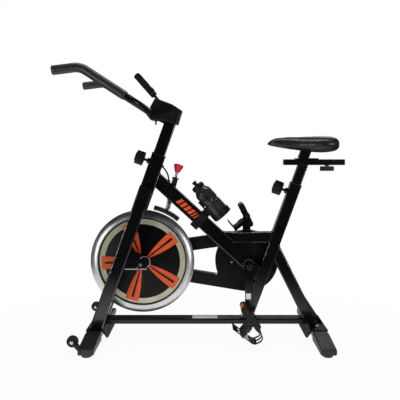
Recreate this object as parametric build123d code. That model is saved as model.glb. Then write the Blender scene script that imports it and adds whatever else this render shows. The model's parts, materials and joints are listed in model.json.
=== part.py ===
from build123d import *
import os
from math import asin, cos, degrees, radians, sin, tan

# An indoor cycling bike. Millimetres and degrees, +X to the rear, +Y to the drive side, +Z up.

# Floor, stabilisers and base rail
STABILISER_LENGTH = 480.0
STABILISER_WIDTH = 50.0
STABILISER_HEIGHT = 30.0
STABILISER_CORNER = 8.0
FRONT_STABILISER_X = -418.0
REAR_STABILISER_X = 415.0
FOOT_HEIGHT = 10.0
FOOT_RADIUS = 19.0
FOOT_ROUND = 5.0
FOOT_INSET = 22.0
CAP_LENGTH = 145.0
CAP_NOSE = 118.0
CAP_NOSE_HEIGHT = 22.0
CAP_WALL = 3.0
CAP_ROUND = 5.0
BRACKET_PLATE = 6.0
BRACKET_GAP = 5.0
BRACKET_HALF = 30.0
BRACKET_LIP = 22.0
BRACKET_DROP = 28.0
BRACKET_BEVEL = 2.0
RAIL_HEIGHT = 22.0
RAIL_WIDTH = 50.0
RAIL_FRONT_X = -395.0
RAIL_REAR_X = 412.0
TUBE_WALL = 2.0
TUBE_CORNER = 5.0
STABILISER_BOLT_Y = 40.0
STABILISER_BOLT_RADIUS = 4.0
STABILISER_BOLT_HEAD = 9.0

# Frame tubes: the front line, the seat line and the strut line lean in the side view
FRONT_LEAN = 20.0
FRONT_FOOT_X = -414.5
SEAT_LEAN = 19.5
SEAT_FOOT_X = 151.0
STRUT_LEAN = -26.6
STRUT_TOP_Z = 349.0
FRAME_WIDTH = 42.0
HEAD_TUBE = 50.0
HEAD_BOTTOM_Z = 552.0
HEAD_TOP_Z = 690.0
CROWN_LENGTH = 42.0
LEG_DEPTH = 46.0
LEG_WIDTH = 25.0
LEG_INNER_Y = 56.0
LEG_TOP_Z = 574.0
LEG_CAP = 3.0
DOWN_TUBE_DEPTH = 50.0
DOWN_TUBE_HEAD_Z = 617.0
DOWN_TUBE_SEAT_Z = 231.0
SEAT_TUBE = 42.0
SEAT_TUBE_TOP_Z = 580.0
TOP_TUBE_DEPTH = 39.0
TOP_TUBE_Z = 381.5
STRUT_DEPTH = 43.0
GUSSET_THICKNESS = 6.0
GUSSET_SEAT_Z = 222.0
GUSSET_STRUT_Z = 271.0
FLARE_TOP_Z = 156.0
FLARE_REACH = 18.0

# Telescoping posts
HEAD_POST = 42.0
HEAD_POST_BOTTOM_Z = 618.0
HEAD_POST_TOP_Z = 826.0
SEAT_POST = 35.0
SEAT_POST_BOTTOM_Z = 433.0
POST_CORNER = 4.0
SLIDE_CLEARANCE = 0.1
BUSH_LENGTH = 60.0
BUSH_COLLAR = 4.0
BUSH_LIP = 1.0

# Pull knobs that lock the posts
HEAD_KNOB_Z = 659.6
SEAT_KNOB_Z = 549.3
KNOB_RADIUS = 26.0
KNOB_THICKNESS = 30.0
KNOB_STANDOFF = 23.0
KNOB_FLUTES = 9
KNOB_FLUTE_RADIUS = 5.0
PIN_RADIUS = 5.0
PIN_GAP = 0.3
RUNNING_CLEARANCE = 0.05
BOSS_RADIUS = 11.0
BOSS_LENGTH = 10.0

# Flywheel
AXLE_X = -246.5
AXLE_Z = 288.0
AXLE_RADIUS = 6.0
AXLE_HALF_LENGTH = 72.0
SHOULDER_RADIUS = 9.0
FLYWHEEL_RADIUS = 197.0
RIM_INNER_RADIUS = 169.0
RIM_HALF_WIDTH = 12.0
RIM_EDGE_HALF = 4.0
RIM_SWELL = 3.0
WEB_HALF = 3.0
FACE_HALF = 5.0
RING_GAP = 6.0
RING_WIDTH = 20.0
HUB_RADIUS = 20.0
HUB_NEAR_Y = -34.0
HUB_FAR_Y = 46.0
BEARING_RADIUS = 14.0
BEARING_WIDTH = 8.0
PETAL_COUNT = 5
PETAL_FIRST_ANGLE = 38.0
PETAL_THICKNESS = 2.5
PETAL_INNER_RADIUS = 28.0
PETAL_OVERLAP = 12.0
PETAL_INNER_HALF = 5.0
PETAL_OUTER_HALF = 25.0
PETAL_SWELL = 4.5
PETAL_END = 15.0
SLIT_INNER_HALF = 1.5
SLIT_OUTER_HALF = 3.2
DROPOUT_THICKNESS = 6.0
DROPOUT_END_RADIUS = 21.0
DROPOUT_PAST_AXLE = 14.0
DROPOUT_LIFT = 9.0
DROPOUT_HOLE_WALL = 6.0
DROPOUT_LEG_RADIUS = 12.0
DROPOUT_RISE = 55.0
DROPOUT_FALL = 25.0
TENSIONER_RADIUS = 4.0
TENSIONER_DROP = 15.5
TENSIONER_PAST_AXLE = 22.0
TENSIONER_NUT_RADIUS = 6.0
NUT_RADIUS = 10.0
NUT_LENGTH = 10.0

# Crank, belt and guard
CRANK_X = 154.0
CRANK_Z = 284.0
CRANK_LENGTH = 168.0
CRANK_NEAR_Y = 62.0
CRANK_THICKNESS = 14.0
CRANK_BOSS_RADIUS = 19.0
CRANK_END_RADIUS = 14.0
CRANK_BOSS_EXTRA = 3.0
SPINDLE_RADIUS = 8.5
CRANK_BOLT_RADIUS = 8.0
CRANK_BOLT_LENGTH = 4.0
SHELL_RADIUS = 23.0
SHELL_WALL = 3.0
SHELL_NEAR_Y = -36.0
CRANK_BEARING_WIDTH = 10.0
BIG_PULLEY_RADIUS = 100.0
SMALL_PULLEY_RADIUS = 31.0
PULLEY_NEAR_Y = 30.0
PULLEY_WIDTH = 12.0
PULLEY_LIP = 2.0
PULLEY_LIP_WIDTH = 1.0
PULLEY_RIM = 8.0
PULLEY_DISC = 5.0
PULLEY_HUB_RADIUS = 22.0
PULLEY_HOLES = 6
PULLEY_HOLE_RADIUS = 15.0
BELT_THICKNESS = 4.0
BELT_GAP = 0.3
BELT_SIDE_GAP = 0.5
GUARD_BIG_RADIUS = 119.0
GUARD_SMALL_RADIUS = 57.0
GUARD_ARM = 48.0
GUARD_WINDOW_REAR_RADIUS = 123.0
GUARD_WINDOW_FRONT_RADIUS = 75.0
GUARD_WALL = 2.5
GUARD_WIDTH = 27.0
GUARD_SPLIT = 13.5
GUARD_HOLE_GAP = 4.0

# Pedals and toe cages, drawn level and then turned to hang
NEAR_PEDAL_TURN = -128.0
FAR_PEDAL_TURN = -116.0
PEDAL_INNER_Y = 92.0
PEDAL_WIDTH = 73.0
PEDAL_LENGTH = 100.0
PEDAL_HEIGHT = 24.0
PEDAL_PLATE = 6.0
PEDAL_BAR = 12.0
PEDAL_BAR_HEIGHT = 18.0
PEDAL_BARREL_RADIUS = 12.0
PEDAL_SPINDLE_RADIUS = 6.0
PEDAL_COLLAR_RADIUS = 9.0
CAGE_THICKNESS = 3.0
CAGE_WIDTH = 66.0
CAGE_RADIUS = 17.0
CAGE_TAIL = 6.0
CAGE_TOE_REACH = 44.0
CAGE_TOE_LOW = 4.0
CAGE_BROW_REACH = 34.0
CAGE_TOE_HEIGHT = 50.0
CAGE_TOP_BACK = 8.0
CAGE_TOP_HEIGHT = 74.0
CAGE_RIB = 8.0
TOE_WINDOW_HEIGHT = 26.0
TOE_WINDOW_MIDDLE = 27.0
TOP_WINDOW_LENGTH = 52.0
TOP_WINDOW_BACK = 12.0
STRAP_WIDTH = 14.0
STRAP_FOOT = 15.0
STRAP_TOP = 32.0
STRAP_THICKNESS = 2.0

# Handlebar, cover and console
BAR_RADIUS = 12.5
BAR_WALL = 2.0
BAR_X = -204.0
BAR_Z = 844.0
HORN_X = -416.5
HORN_Y = 227.0
HORN_Z = 981.0
GRIP_END_X = -509.5
GRIP_END_Z = 970.0
HORN_BEND = 60.0
CROSS_BEND = 75.0
GRIP_RADIUS = 15.5
GRIP_END = 4.0
GRIP_STOP = 4.0
COVER_HALF_WIDTH = 42.0
COVER_ROUND = 7.0
COVER_POINTS = [
    (-190.5, 899), (-128.5, 876), (-93, 853), (-109.5, 801), (-155.5, 816), (-208.5, 819.5), (-223.5, 839),
]
STEM_DEPTH = 30.0
STEM_WIDTH = 36.0
CLAMP_RADIUS = 19.0
CONSOLE_X = -228.5
CONSOLE_Z = 947.0
CONSOLE_FACE_LEAN = 48.5
CONSOLE_LENGTH = 98.0
CONSOLE_WIDTH = 72.0
CONSOLE_THICKNESS = 24.0
CONSOLE_CORNER = 10.0
CONSOLE_BROW = 10.0
CONSOLE_EDGE = 2.0
SCREEN_LENGTH = 42.0
SCREEN_WIDTH = 54.0
SCREEN_DEPTH = 1.5
SCREEN_UP = 16.0
BUTTON_RADIUS = 8.0
BUTTON_DOWN = 28.0
BUTTON_PROUD = 2.0
BUTTON_DEPTH = 6.0
BUTTON_GAP = 0.2
NECK_WIDTH = 26.0
NECK_DEPTH = 10.0
NECK_REACH = 34.0

# Seat rail, slider and saddle
SEAT_RAIL_FRONT_X = 287.5
SEAT_RAIL_REAR_X = 510.0
SEAT_RAIL_Z = 654.0
SEAT_RAIL_HEIGHT = 21.0
SEAT_RAIL_WIDTH = 40.0
SLIDER_FRONT_X = 322.0
SLIDER_REAR_X = 482.0
SLIDER_WEB_FRONT_X = 340.0
SLIDER_WEB_REAR_X = 400.0
SLIDER_WEB_WIDTH = 12.0
SLIDER_PLATE = 4.0
SLIDER_PLATE_OVERHANG = 12.0
SLIDER_TRAVEL_FORWARD = 30.0
SLIDER_TRAVEL_BACK = 25.0
SLIDER_CLEARANCE = 0.2
SADDLE_STEM_X = 357.0
SADDLE_STEM_DEPTH = 38.0
SADDLE_STEM_WIDTH = 30.0
SADDLE_STEM_SUNK = 4.0
SADDLE_SEAT_Z = 706.0
SADDLE_STATIONS = [
    (223, 14, 723, 738), (240, 23, 717, 752), (285, 33, 710, 757), (335, 48, 704, 757), (390, 80, 699, 760),
    (440, 93, 699, 763), (470, 85, 704, 760), (483, 68, 709, 751), (489, 52, 715, 741),
]
RAIL_KNOB_X = 448.0
RAIL_KNOB_LENGTH = 52.0
RAIL_KNOB_WIDTH = 18.0
RAIL_KNOB_HEIGHT = 17.0
RAIL_KNOB_GAP = 1.0
RAIL_KNOB_BOLT = 4.0
RAIL_BOSS_RADIUS = 9.0
RAIL_BOSS_LENGTH = 4.0

# Brake rod through the down tube
BRAKE_X = -109.8
BRAKE_Z = 641.0
BRAKE_LEAN = 15.0
BRAKE_ROD_RADIUS = 5.0
BRAKE_GUIDE_RADIUS = 10.0
BRAKE_GUIDE_TOP = 36.0
BRAKE_GUIDE_BOTTOM = 127.0
BRAKE_FLANGE_RADIUS = 13.0
BRAKE_FLANGE_LENGTH = 5.0
BRAKE_KNOB_TOP_RADIUS = 18.5
BRAKE_KNOB_BOTTOM_RADIUS = 8.5
BRAKE_KNOB_HALF = 16.0
BRAKE_KNOB_FLUTES = 6
BRAKE_KNOB_FLUTE_RADIUS = 6.0
BRAKE_KNOB_BORE = 24.0
PAD_GAP = 6.0
PAD_THICKNESS = 8.0
PAD_HOLDER = 7.0
PAD_WIDTH = 26.0
PAD_ARC = 28.0
PAD_INSET = 2.0
PAD_ROD_SUNK = 2.0
PAD_HOLDER_MARGIN = 1.0
SPRING_RADIUS = 9.0
SPRING_WIRE = 1.1
SPRING_TURNS = 5
SPRING_WASHER = 3.0
SPRING_SEAT_GAP = 4.0

# Sensor cable, bottle and cage
CABLE_RADIUS = 3.0
CABLE_HEAD_Z = 658.0
CABLE_ALONG_DOWN_TUBE = 62.0
CABLE_DIP = 30.0
CABLE_SOCKET = 4.0
BOTTLE_X = 59.0
BOTTLE_Z = 467.0
BOTTLE_LEAN = -42.0
BOTTLE_RADIUS = 32.5
BOTTLE_SHOULDER = 116.0
BOTTLE_NECK_RADIUS = 22.0
BOTTLE_NECK = 132.0
BOTTLE_GROOVE = 66.0
BOTTLE_GROOVE_HALF = 5.0
BOTTLE_GROOVE_DEPTH = 2.5
BOTTLE_ROUND = 4.0
CAP_RADIUS = 25.0
CAP_TOP = 150.0
CAP_SHOULDER = 6.0
SPOUT_RADIUS = 9.0
SPOUT_TOP = 166.0
SPOUT_LIP = 2.0
SPOUT_COLLAR = 7.0
SPOUT_SLOPE = 1.0
CAGE_GAP = 0.5
CAGE_WALL = 3.0
CAGE_CUP = 18.0
CAGE_RING_FROM = 84.0
CAGE_RING_TO = 96.0
CAGE_SPINE_WIDTH = 24.0
CLAMP_ALONG = 247.0
CLAMP_LENGTH = 30.0
CLAMP_WALL = 4.0
CLAMP_BLOCK = 14.0

# Transport wheels
WHEEL_STANDOFF = 3.0
WHEEL_Y = 205.0
WHEEL_Z = 49.0
WHEEL_RADIUS = 20.0
WHEEL_WIDTH = 18.0
WHEEL_TREAD_ROUND = 3.0
WHEEL_AXLE_RADIUS = 4.0
WHEEL_ARM = 4.0
WHEEL_ARM_RADIUS = 9.0
WHEEL_SIDE_GAP = 0.6
WHEEL_BASE = 3.0

SPACE = 3000.0

STABILISER_Z = FOOT_HEIGHT + CAP_WALL
STABILISER_TOP = STABILISER_Z + STABILISER_HEIGHT
PLATE_TOP = STABILISER_TOP + BRACKET_PLATE
RAIL_TOP = PLATE_TOP + RAIL_HEIGHT
FRAME_SIDE = FRAME_WIDTH / 2
LEG_Y = LEG_INNER_Y + LEG_WIDTH / 2
BRACKET_WIDTH = STABILISER_LENGTH - 2 * (CAP_LENGTH + BRACKET_GAP)
SEAT_POST_WIDTH = FRAME_WIDTH - (SEAT_TUBE - SEAT_POST)
GUARD_NEAR_Y = FRAME_SIDE
GUARD_FAR_Y = FRAME_SIDE + GUARD_WIDTH
GUARD_SPLIT_Y = FRAME_SIDE + GUARD_SPLIT
CRANK_FAR_Y = CRANK_NEAR_Y + CRANK_THICKNESS
SEAT_RAIL_TOP = SEAT_RAIL_Z + SEAT_RAIL_HEIGHT
RING_OUTER_RADIUS = RIM_INNER_RADIUS - RING_GAP
RING_INNER_RADIUS = RING_OUTER_RADIUS - RING_WIDTH
PETAL_OUTER_RADIUS = RING_INNER_RADIUS + PETAL_OVERLAP
SLIT_OUTER_RADIUS = PETAL_OUTER_RADIUS - PETAL_END
CAP_FACE_X = FRONT_STABILISER_X - STABILISER_WIDTH / 2 - CAP_WALL
WHEEL_X = CAP_FACE_X - WHEEL_RADIUS - WHEEL_STANDOFF


def lean_vector(lean):
    """Unit vector in the side view, lean degrees from straight up towards the rear."""
    return Vector(sin(radians(lean)), 0, cos(radians(lean)))


def across_vector(lean):
    """Unit vector square to a leaning line, towards the rear."""
    return Vector(cos(radians(lean)), 0, -sin(radians(lean)))


def on_line(foot_x, foot_z, lean, z, y=0.0):
    return Vector(foot_x + (z - foot_z) * tan(radians(lean)), y, z)


def front_point(z, y=0.0):
    return on_line(FRONT_FOOT_X, PLATE_TOP, FRONT_LEAN, z, y)


def seat_point(z, y=0.0):
    return on_line(SEAT_FOOT_X, RAIL_TOP, SEAT_LEAN, z, y)


def strut_point(z, y=0.0):
    top = seat_point(STRUT_TOP_Z)
    return on_line(top.X, STRUT_TOP_Z, STRUT_LEAN, z, y)


DOWN_START = front_point(DOWN_TUBE_HEAD_Z)
DOWN_END = seat_point(DOWN_TUBE_SEAT_Z)
DOWN_DIRECTION = (DOWN_END - DOWN_START).normalized()
DOWN_NORMAL = Vector(-DOWN_DIRECTION.Z, 0, DOWN_DIRECTION.X)


def down_point(along, above=0.0):
    """Point on the down tube's axis, moved square to it by above."""
    return DOWN_START + DOWN_DIRECTION * along + DOWN_NORMAL * above


def line_plane(start, direction):
    """Plane square to a direction in the side view, with its local x along +Y."""
    return Plane(origin=start, x_dir=(0, 1, 0), z_dir=direction)


def bar(start, end, depth, width, corner=0.0):
    """Solid rectangular bar between two points, depth in the side view and width along Y."""
    section = RectangleRounded(width, depth, corner) if corner else Rectangle(width, depth)
    return extrude(line_plane(start, end - start) * section, (end - start).length)


def tube(start, end, depth, width, wall=TUBE_WALL, corner=TUBE_CORNER):
    inner = bar(start, end, depth - 2 * wall, width - 2 * wall, corner - wall)
    return bar(start, end, depth, width, corner) - inner


def rod(start, end, radius):
    return extrude(Plane(origin=start, z_dir=end - start) * Circle(radius), (end - start).length)


def slab(sketch, y_low, y_high):
    """Sketch drawn in side view, as (x, z), given a thickness along Y."""
    return extrude(Plane.XZ.offset(-y_high) * sketch, y_high - y_low)


def disc(x, z, radius, y_low, y_high):
    return slab(Pos(x, z) * Circle(radius), y_low, y_high)


def ring(x, z, outer, inner, y_low, y_high):
    return disc(x, z, outer, y_low, y_high) - disc(x, z, inner, y_low, y_high)


def spun(plane, *points):
    """Solid of revolution about the plane's normal, from (radius, height) points."""
    return plane * revolve(Plane.XZ * make_face(Polyline(*points, close=True)), Axis.Z)


def side_plane(x, z):
    """Plane whose normal is +Y, for wheels that turn about Y."""
    return Plane(origin=(x, 0, z), x_dir=(1, 0, 0), z_dir=(0, 1, 0))


def below(z):
    return Pos(0, 0, z - SPACE / 2) * Box(SPACE, SPACE, SPACE)


def above(z):
    return Pos(0, 0, z + SPACE / 2) * Box(SPACE, SPACE, SPACE)


def far_side(shape):
    return mirror(shape, about=Plane.XZ)


def stabiliser(x):
    """Rectangular tube along Y, held between two end caps."""
    half = STABILISER_LENGTH / 2 - CAP_NOSE
    centre_z = STABILISER_Z + STABILISER_HEIGHT / 2
    outer = RectangleRounded(STABILISER_WIDTH, STABILISER_HEIGHT, STABILISER_CORNER)
    inner = RectangleRounded(
        STABILISER_WIDTH - 2 * TUBE_WALL, STABILISER_HEIGHT - 2 * TUBE_WALL, STABILISER_CORNER - TUBE_WALL
    )
    beam = slab(Pos(x, centre_z) * (outer - inner), -half, half)
    for y in (-STABILISER_BOLT_Y, STABILISER_BOLT_Y):
        beam -= Pos(x, y, STABILISER_TOP) * Cylinder(STABILISER_BOLT_RADIUS, BRACKET_PLATE * 2)
    return beam


def stabiliser_cap(x):
    """Moulded boot on the near end of a stabiliser: a sleeve, a nose that slopes down, and a round foot."""
    end = STABILISER_LENGTH / 2
    low = STABILISER_Z - CAP_WALL
    top = STABILISER_TOP + CAP_WALL
    mouth = CAP_LENGTH - end
    width = STABILISER_WIDTH + 2 * CAP_WALL
    profile = make_face(Polyline(
        (-end, low), (-end, low + CAP_NOSE_HEIGHT), (CAP_NOSE - end, top), (mouth, top), (mouth, low),
        close=True,
    ))
    boot = extrude(Plane.YZ.offset(x - width / 2) * profile, width)
    boot = fillet(boot.edges().sort_by(Axis.Y)[:-4], CAP_ROUND)
    seat = RectangleRounded(STABILISER_WIDTH, STABILISER_HEIGHT, STABILISER_CORNER)
    boot -= slab(Pos(x, STABILISER_Z + STABILISER_HEIGHT / 2) * seat, CAP_NOSE - end, mouth)
    foot_height = FOOT_HEIGHT + CAP_WALL / 2
    foot = Pos(x, FOOT_INSET - end, foot_height / 2) * Cylinder(FOOT_RADIUS, foot_height)
    return boot + fillet(foot.edges().group_by(Axis.Z)[0], FOOT_ROUND)


def stabiliser_bracket(x, inward):
    """Bent plate on top of a stabiliser, with a lip that slopes down towards the middle of the bike."""
    edge = BRACKET_HALF * inward
    lip = (BRACKET_HALF + BRACKET_LIP) * inward
    lip_in = lip - BRACKET_PLATE * inward
    outline = make_face(Polyline(
        (x - edge, STABILISER_TOP), (x - edge, PLATE_TOP), (x + edge, PLATE_TOP),
        (x + lip, PLATE_TOP - BRACKET_DROP), (x + lip_in, PLATE_TOP - BRACKET_DROP - BRACKET_BEVEL),
        (x + edge - BRACKET_BEVEL * inward, STABILISER_TOP), close=True,
    ))
    plate = slab(outline, -BRACKET_WIDTH / 2, BRACKET_WIDTH / 2)
    for y in (-STABILISER_BOLT_Y, STABILISER_BOLT_Y):
        plate -= Pos(x, y, PLATE_TOP) * Cylinder(STABILISER_BOLT_RADIUS, BRACKET_PLATE * 3)
    return plate


def stabiliser_bolt(x, y):
    """Carriage bolt with a domed head, down through the plate and the tube's top wall."""
    head = STABILISER_BOLT_HEAD
    dome = Pos(x, y, PLATE_TOP) * (Sphere(head) - Pos(0, 0, -head) * Box(4 * head, 4 * head, 2 * head))
    dome -= above(PLATE_TOP + head * 0.6)
    shank_length = BRACKET_PLATE + TUBE_WALL * 3
    shank = Pos(x, y, PLATE_TOP - shank_length / 2) * Cylinder(STABILISER_BOLT_RADIUS, shank_length)
    return dome + shank


def rail_point(x):
    return Vector(x, 0, PLATE_TOP + RAIL_HEIGHT / 2)


def rail_blank():
    return bar(rail_point(RAIL_FRONT_X), rail_point(RAIL_REAR_X), RAIL_HEIGHT, RAIL_WIDTH)


def base_rail():
    return tube(rail_point(RAIL_FRONT_X), rail_point(RAIL_REAR_X), RAIL_HEIGHT, RAIL_WIDTH)


def fork_leg():
    """Near leg: a flat tube from the front bracket to a closed top beside the crown."""
    foot = front_point(PLATE_TOP - LEG_DEPTH, -LEG_Y)
    top = front_point(LEG_TOP_Z, -LEG_Y)
    inner_top = top - lean_vector(FRONT_LEAN) * LEG_CAP
    outer = bar(foot, top, LEG_DEPTH, LEG_WIDTH, TUBE_CORNER)
    inner = bar(
        foot, inner_top, LEG_DEPTH - 2 * TUBE_WALL, LEG_WIDTH - 2 * TUBE_WALL, TUBE_CORNER - TUBE_WALL
    )
    return outer - inner - below(PLATE_TOP)


def fork_crown():
    """Short cross tube that ties the legs together under the head tube."""
    top = front_point(HEAD_BOTTOM_Z)
    bottom = top - lean_vector(FRONT_LEAN) * CROWN_LENGTH
    inner_top = top - lean_vector(FRONT_LEAN) * (2 * TUBE_WALL)
    inner_bottom = bottom + lean_vector(FRONT_LEAN) * (2 * TUBE_WALL)
    outer = bar(bottom, top, LEG_DEPTH, 2 * LEG_INNER_Y)
    return outer - bar(inner_bottom, inner_top, LEG_DEPTH - 4 * TUBE_WALL, 2 * LEG_INNER_Y)


def head_blank():
    return bar(front_point(HEAD_BOTTOM_Z), front_point(HEAD_TOP_Z), HEAD_TUBE, HEAD_TUBE, TUBE_CORNER)


def seat_blank():
    return bar(seat_point(PLATE_TOP), seat_point(SEAT_TUBE_TOP_Z), SEAT_TUBE, FRAME_WIDTH, TUBE_CORNER)


def down_blank():
    return bar(DOWN_START, DOWN_END, DOWN_TUBE_DEPTH, FRAME_WIDTH, TUBE_CORNER)


def down_slice():
    """The down tube's band in the side view, wider than the bike, for square-cut ends."""
    return bar(DOWN_START, DOWN_END, DOWN_TUBE_DEPTH, SPACE)


def seat_slice():
    return bar(seat_point(PLATE_TOP), seat_point(SEAT_TUBE_TOP_Z), SEAT_TUBE, SPACE)


def strut_blank():
    foot = strut_point(PLATE_TOP - STRUT_DEPTH)
    return bar(foot, strut_point(STRUT_TOP_Z), STRUT_DEPTH, FRAME_WIDTH, TUBE_CORNER)


def knob_axis(foot, lean, reach):
    """Point on a knob's axis, reach millimetres out of the post's axis towards the front."""
    return foot - across_vector(lean) * reach


def knob_boss(foot, lean, tube_half):
    """Welded nut on the front of a tube, bored for the pin."""
    end = tube_half + BOSS_LENGTH
    outer = rod(knob_axis(foot, lean, tube_half), knob_axis(foot, lean, end), BOSS_RADIUS)
    return outer - pin_hole(foot, lean, tube_half + BOSS_LENGTH)


def pin_hole(foot, lean, reach):
    return rod(foot, knob_axis(foot, lean, reach), PIN_RADIUS + RUNNING_CLEARANCE)


def pull_knob(foot, lean, tube_half, post_half):
    """Fluted drum on a pin whose tip waits just clear of the post."""
    start = tube_half + KNOB_STANDOFF
    pin = rod(knob_axis(foot, lean, post_half + PIN_GAP), knob_axis(foot, lean, start + 1), PIN_RADIUS)
    plane = line_plane(knob_axis(foot, lean, start), across_vector(lean) * -1)
    drum = Circle(KNOB_RADIUS)
    for flute in PolarLocations(KNOB_RADIUS + KNOB_FLUTE_RADIUS * 0.5, KNOB_FLUTES):
        drum -= flute * Circle(KNOB_FLUTE_RADIUS)
    body = extrude(plane * drum, KNOB_THICKNESS)
    crown = plane.offset(KNOB_THICKNESS) * Pos(0, 0, -2) * Cone(
        KNOB_RADIUS * 0.86, KNOB_RADIUS * 0.7, 8
    )
    return pin + body + crown


def head_tube():
    foot = front_point(HEAD_KNOB_Z)
    shell = tube(front_point(HEAD_BOTTOM_Z), front_point(HEAD_TOP_Z), HEAD_TUBE, HEAD_TUBE)
    shell -= pin_hole(foot, FRONT_LEAN, HEAD_TUBE)
    return shell + knob_boss(foot, FRONT_LEAN, HEAD_TUBE / 2)


def seat_tube():
    foot = seat_point(SEAT_KNOB_Z)
    shell = tube(seat_point(PLATE_TOP), seat_point(SEAT_TUBE_TOP_Z), SEAT_TUBE, FRAME_WIDTH)
    shell -= below(RAIL_TOP)
    shell -= pin_hole(foot, SEAT_LEAN, SEAT_TUBE)
    return shell + knob_boss(foot, SEAT_LEAN, SEAT_TUBE / 2)


def post_bush(top, lean, tube_sizes, post_sizes, foot):
    """Plastic sleeve in a tube's mouth with a collar on its rim, slotted for the pin.

    Sizes are pairs of depth and width.
    """
    axis = lean_vector(lean)
    inner = [size - 2 * TUBE_WALL for size in tube_sizes]
    sleeve = bar(top - axis * BUSH_LENGTH, top, *inner, TUBE_CORNER - TUBE_WALL)
    brim = [size + 2 * BUSH_LIP for size in tube_sizes]
    collar = bar(top, top + axis * BUSH_COLLAR, *brim, TUBE_CORNER)
    slot = [size + 2 * SLIDE_CLEARANCE for size in post_sizes]
    passage = bar(top - axis * 2 * BUSH_LENGTH, top + axis * BUSH_LENGTH, *slot, POST_CORNER)
    return sleeve + collar - passage - pin_hole(foot, lean, tube_sizes[0])


def down_tube():
    shell = tube(DOWN_START, DOWN_END, DOWN_TUBE_DEPTH, FRAME_WIDTH) - head_blank() - seat_slice()
    shell -= disc(CRANK_X, CRANK_Z, SHELL_RADIUS, -SPACE / 2, SPACE / 2)
    shell -= rod(brake_point(0), brake_point(SPACE / 2), BRAKE_GUIDE_RADIUS)
    return largest(shell)


def largest(shape):
    """The biggest solid of a shape, leaving off-cuts behind."""
    return shape.solids().sort_by(SortBy.VOLUME)[-1]


def top_tube():
    along = (DOWN_START.Z - TOP_TUBE_Z) / -DOWN_DIRECTION.Z
    start = down_point(along)
    shell = tube(start, seat_point(TOP_TUBE_Z), TOP_TUBE_DEPTH, FRAME_WIDTH)
    return largest(shell - down_slice() - seat_slice())


def rear_strut():
    shell = tube(strut_point(PLATE_TOP - STRUT_DEPTH), strut_point(STRUT_TOP_Z), STRUT_DEPTH, FRAME_WIDTH)
    return largest(shell - seat_blank() - below(RAIL_TOP))


def gussets():
    """A curved plate in the fork of the seat tube and strut, and a flare behind the strut's foot."""
    half = GUSSET_THICKNESS / 2
    top = seat_point(STRUT_TOP_Z)
    low = seat_point(GUSSET_SEAT_Z)
    rear = strut_point(GUSSET_STRUT_Z)
    middle = (low + rear) * 0.5 + Vector(0, 0, (top.Z - low.Z) * 0.25)
    curve = ThreePointArc((low.X, low.Z), (middle.X, middle.Z), (rear.X, rear.Z))
    edges = [Line((top.X, top.Z), (low.X, low.Z)), curve, Line((rear.X, rear.Z), (top.X, top.Z))]
    web = slab(make_face(edges), -half, half) - seat_blank() - strut_blank()
    shoulder = strut_point(FLARE_TOP_Z)
    toe = strut_point(PLATE_TOP)
    reach = toe.X + STRUT_DEPTH / 2 / cos(radians(STRUT_LEAN)) + FLARE_REACH
    flare_face = make_face(Polyline(
        (shoulder.X, shoulder.Z), (shoulder.X + STRUT_DEPTH / 2 / cos(radians(STRUT_LEAN)), shoulder.Z),
        (reach, PLATE_TOP), (toe.X, PLATE_TOP), close=True,
    ))
    flare = slab(flare_face, -FRAME_SIDE / 2, FRAME_SIDE / 2) - strut_blank() - rail_blank()
    return largest(web), largest(flare)


def dropout():
    """Near plate on the leg's inner face, reaching back to the flywheel axle."""
    upper = front_point(AXLE_Z + DROPOUT_RISE)
    lower = front_point(AXLE_Z - DROPOUT_FALL)
    circles = Sketch() + [
        Pos(AXLE_X + DROPOUT_PAST_AXLE, AXLE_Z + DROPOUT_LIFT) * Circle(DROPOUT_END_RADIUS),
        Pos(AXLE_X, AXLE_Z) * Circle(AXLE_RADIUS + DROPOUT_HOLE_WALL),
        Pos(upper.X, upper.Z) * Circle(DROPOUT_LEG_RADIUS),
        Pos(lower.X, lower.Z) * Circle(DROPOUT_LEG_RADIUS),
    ]
    plate = slab(make_hull(circles.edges()), -LEG_INNER_Y, -LEG_INNER_Y + DROPOUT_THICKNESS)
    return plate - disc(AXLE_X, AXLE_Z, AXLE_RADIUS, -SPACE / 2, SPACE / 2)


def axle_nut():
    nut = slab(Pos(AXLE_X, AXLE_Z) * RegularPolygon(NUT_RADIUS, 6), -LEG_INNER_Y - NUT_LENGTH, -LEG_INNER_Y)
    return nut - disc(AXLE_X, AXLE_Z, AXLE_RADIUS, -SPACE / 2, SPACE / 2)


def tensioner():
    """Bolt along the dropout's outer face, from the leg to just past the axle, with its nut."""
    z = AXLE_Z - TENSIONER_DROP
    y = -LEG_INNER_Y - TENSIONER_RADIUS
    leg_rear = front_point(z).X + LEG_DEPTH / 2 / cos(radians(FRONT_LEAN)) + TENSIONER_RADIUS
    bolt = rod(Vector(leg_rear, y, z), Vector(AXLE_X + TENSIONER_PAST_AXLE, y, z), TENSIONER_RADIUS)
    nut_plane = Plane(origin=(AXLE_X, y, z), z_dir=(-1, 0, 0))
    nut = extrude(nut_plane * RegularPolygon(TENSIONER_NUT_RADIUS, 6), NUT_LENGTH)
    nut -= slab(Rectangle(SPACE, SPACE), -LEG_INNER_Y, LEG_INNER_Y)
    return bolt + nut


def flywheel_axle():
    """Fixed axle with shoulders between the bearings and the dropouts."""
    shoulder_near = -LEG_INNER_Y + DROPOUT_THICKNESS
    axle = disc(AXLE_X, AXLE_Z, AXLE_RADIUS, -AXLE_HALF_LENGTH, AXLE_HALF_LENGTH)
    axle += disc(AXLE_X, AXLE_Z, SHOULDER_RADIUS, shoulder_near, HUB_NEAR_Y - BELT_GAP)
    axle += disc(AXLE_X, AXLE_Z, SHOULDER_RADIUS, HUB_FAR_Y + BELT_GAP, -shoulder_near)
    return axle


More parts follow.
